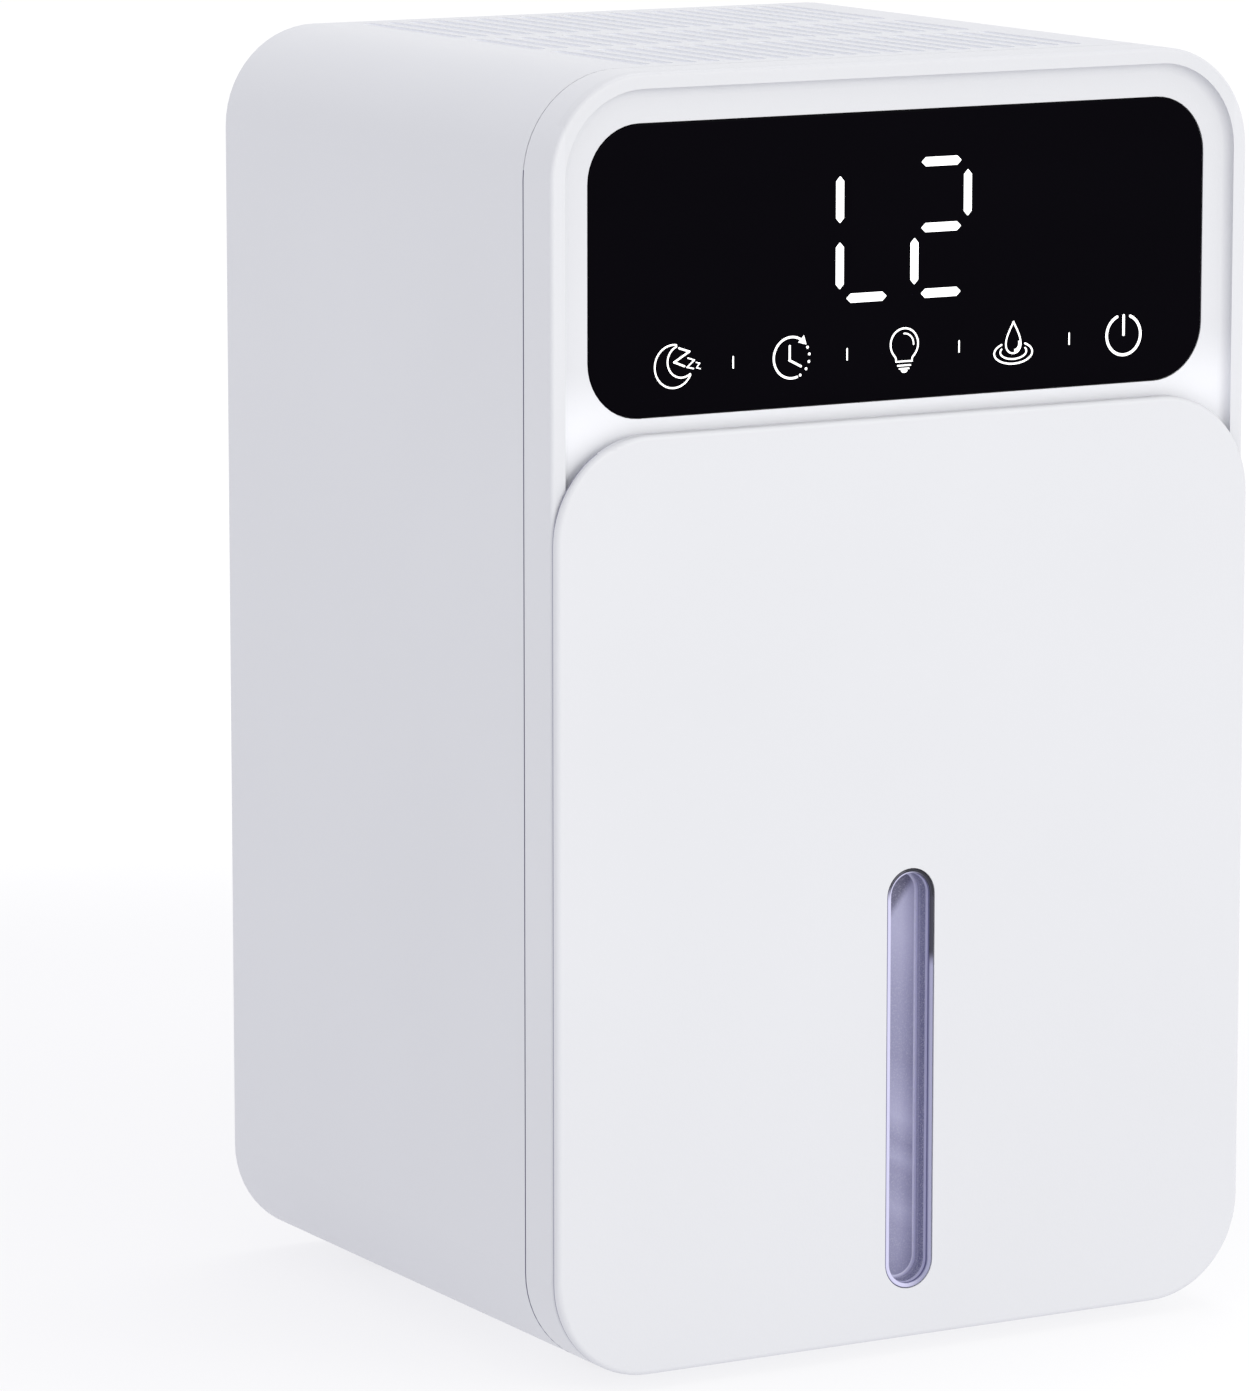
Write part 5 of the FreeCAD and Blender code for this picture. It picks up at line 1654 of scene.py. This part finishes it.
@dataclass
class Studio:
    """Pale floor, soft light and the camera."""

    azimuth: float = 29.513
    elevation: float = 9.678
    distance: float = 1.4542
    aside: float = -0.02393
    above: float = -0.00511
    focal_mm: float = 190.12
    sensor_mm: float = 36.0
    frame_back: float = 6.25 * MM
    clip_end: float = 100.0
    floor_radii: tuple[float, ...] = (0.05, 0.3, 1.0, 3.0, 9.0)
    floor_steps: int = 96
    boxes: tuple[SoftBox, ...] = (
        SoftBox("key", (0.7, -2.4, 0.9), 1.6, 22.3, (1.0, 0.99, 0.86)),
        SoftBox("overhead", (0.45, 0.5, 2.2), 0.8, 7.0, (1.0, 1.0, 0.94)))

    def build(self) -> None:
        """Build everything that isn't the object."""
        self._floor()
        self._surround()
        for box in self.boxes:
            box.hang()
        self._camera()
        bpy.context.scene.view_settings.view_transform = "Standard"

    def _camera(self) -> None:
        """Place the camera, by azimuth and elevation round a point near the middle."""
        low, high = CAD_BOX
        a, e = math.radians(-self.azimuth), math.radians(self.elevation)
        back = Vector((math.sin(a) * math.cos(e), -math.cos(a) * math.cos(e), math.sin(e)))
        right = (-back).cross(Vector((0, 0, 1))).normalized()
        up = right.cross(-back)
        middle = Vector((0.0, -self.frame_back, (low.z + high.z) / 2))
        target = middle + right * self.aside + up * self.above
        data = bpy.data.cameras.new("camera")
        data.sensor_width = self.sensor_mm
        data.lens = self.focal_mm
        data.clip_end = self.clip_end
        camera = put("camera", data)
        turn = Matrix((right, up, back)).transposed().to_4x4()
        camera.matrix_world = Matrix.Translation(target + back * self.distance) @ turn
        bpy.context.scene.camera = camera

    def _floor(self) -> None:
        """Lay the round floor: each point is a radius times the cosine and sine of an angle."""
        angle, radius = round_angles(self.floor_steps), np.array(self.floor_radii)[:, None]
        x, y = radius * np.cos(angle), radius * np.sin(angle)
        numbers = np.arange(x.size).reshape(x.shape)
        inner, outer = numbers[:-1], numbers[1:]
        ahead = [np.roll(ring, -1, axis=1) for ring in (outer, inner)]
        quads = np.stack([inner, outer, *ahead], axis=-1)
        points = np.stack([x, y, np.zeros_like(x)], axis=-1).reshape(-1, 3)
        mesh = bpy.data.meshes.new("floor")
        mesh.from_pydata(points.tolist(), [], quads.reshape(-1, 4).tolist() + [numbers[0].tolist()])
        mesh.materials.append(FloorGlow().build())
        floor = put("floor", mesh)

    @staticmethod
    def _surround() -> None:
        """Light the scene from all round with even white."""
        world = bpy.data.worlds.new("studio")
        world.use_nodes = True
        surround = world.node_tree.nodes["Background"].inputs
        surround["Color"].default_value = (*WHITE, 1.0)
        surround["Strength"].default_value = 1.0
        bpy.context.scene.world = world


def main() -> None:
    """Build the studio, the finishes and every piece."""
    logging.basicConfig(level=logging.INFO, format="%(name)s: %(message)s")
    Studio().build()
    wardrobe = Wardrobe()
    wardrobe.dress()
    finish = wardrobe.by_slot
    DisplayFace().build(LitSymbol().build())
    LevelWindow().build(finish["clear_plastic"])
    CrossScrews("cover_screws", Axis.Y, 3.2 * MM, 1.7 * MM, 10.0 * MM).build(finish["steel"])
    CrossScrews("fan_screws", Axis.Z, 3.1 * MM, 2.0 * MM, 32.0 * MM).build(finish["steel"])
    FootPads().build(finish["rubber"])
    PowerSocket().build(finish["component_black"], finish["steel"])
    FanRotor().build(finish["fan_black"])


if __name__ == "__main__":
    main()
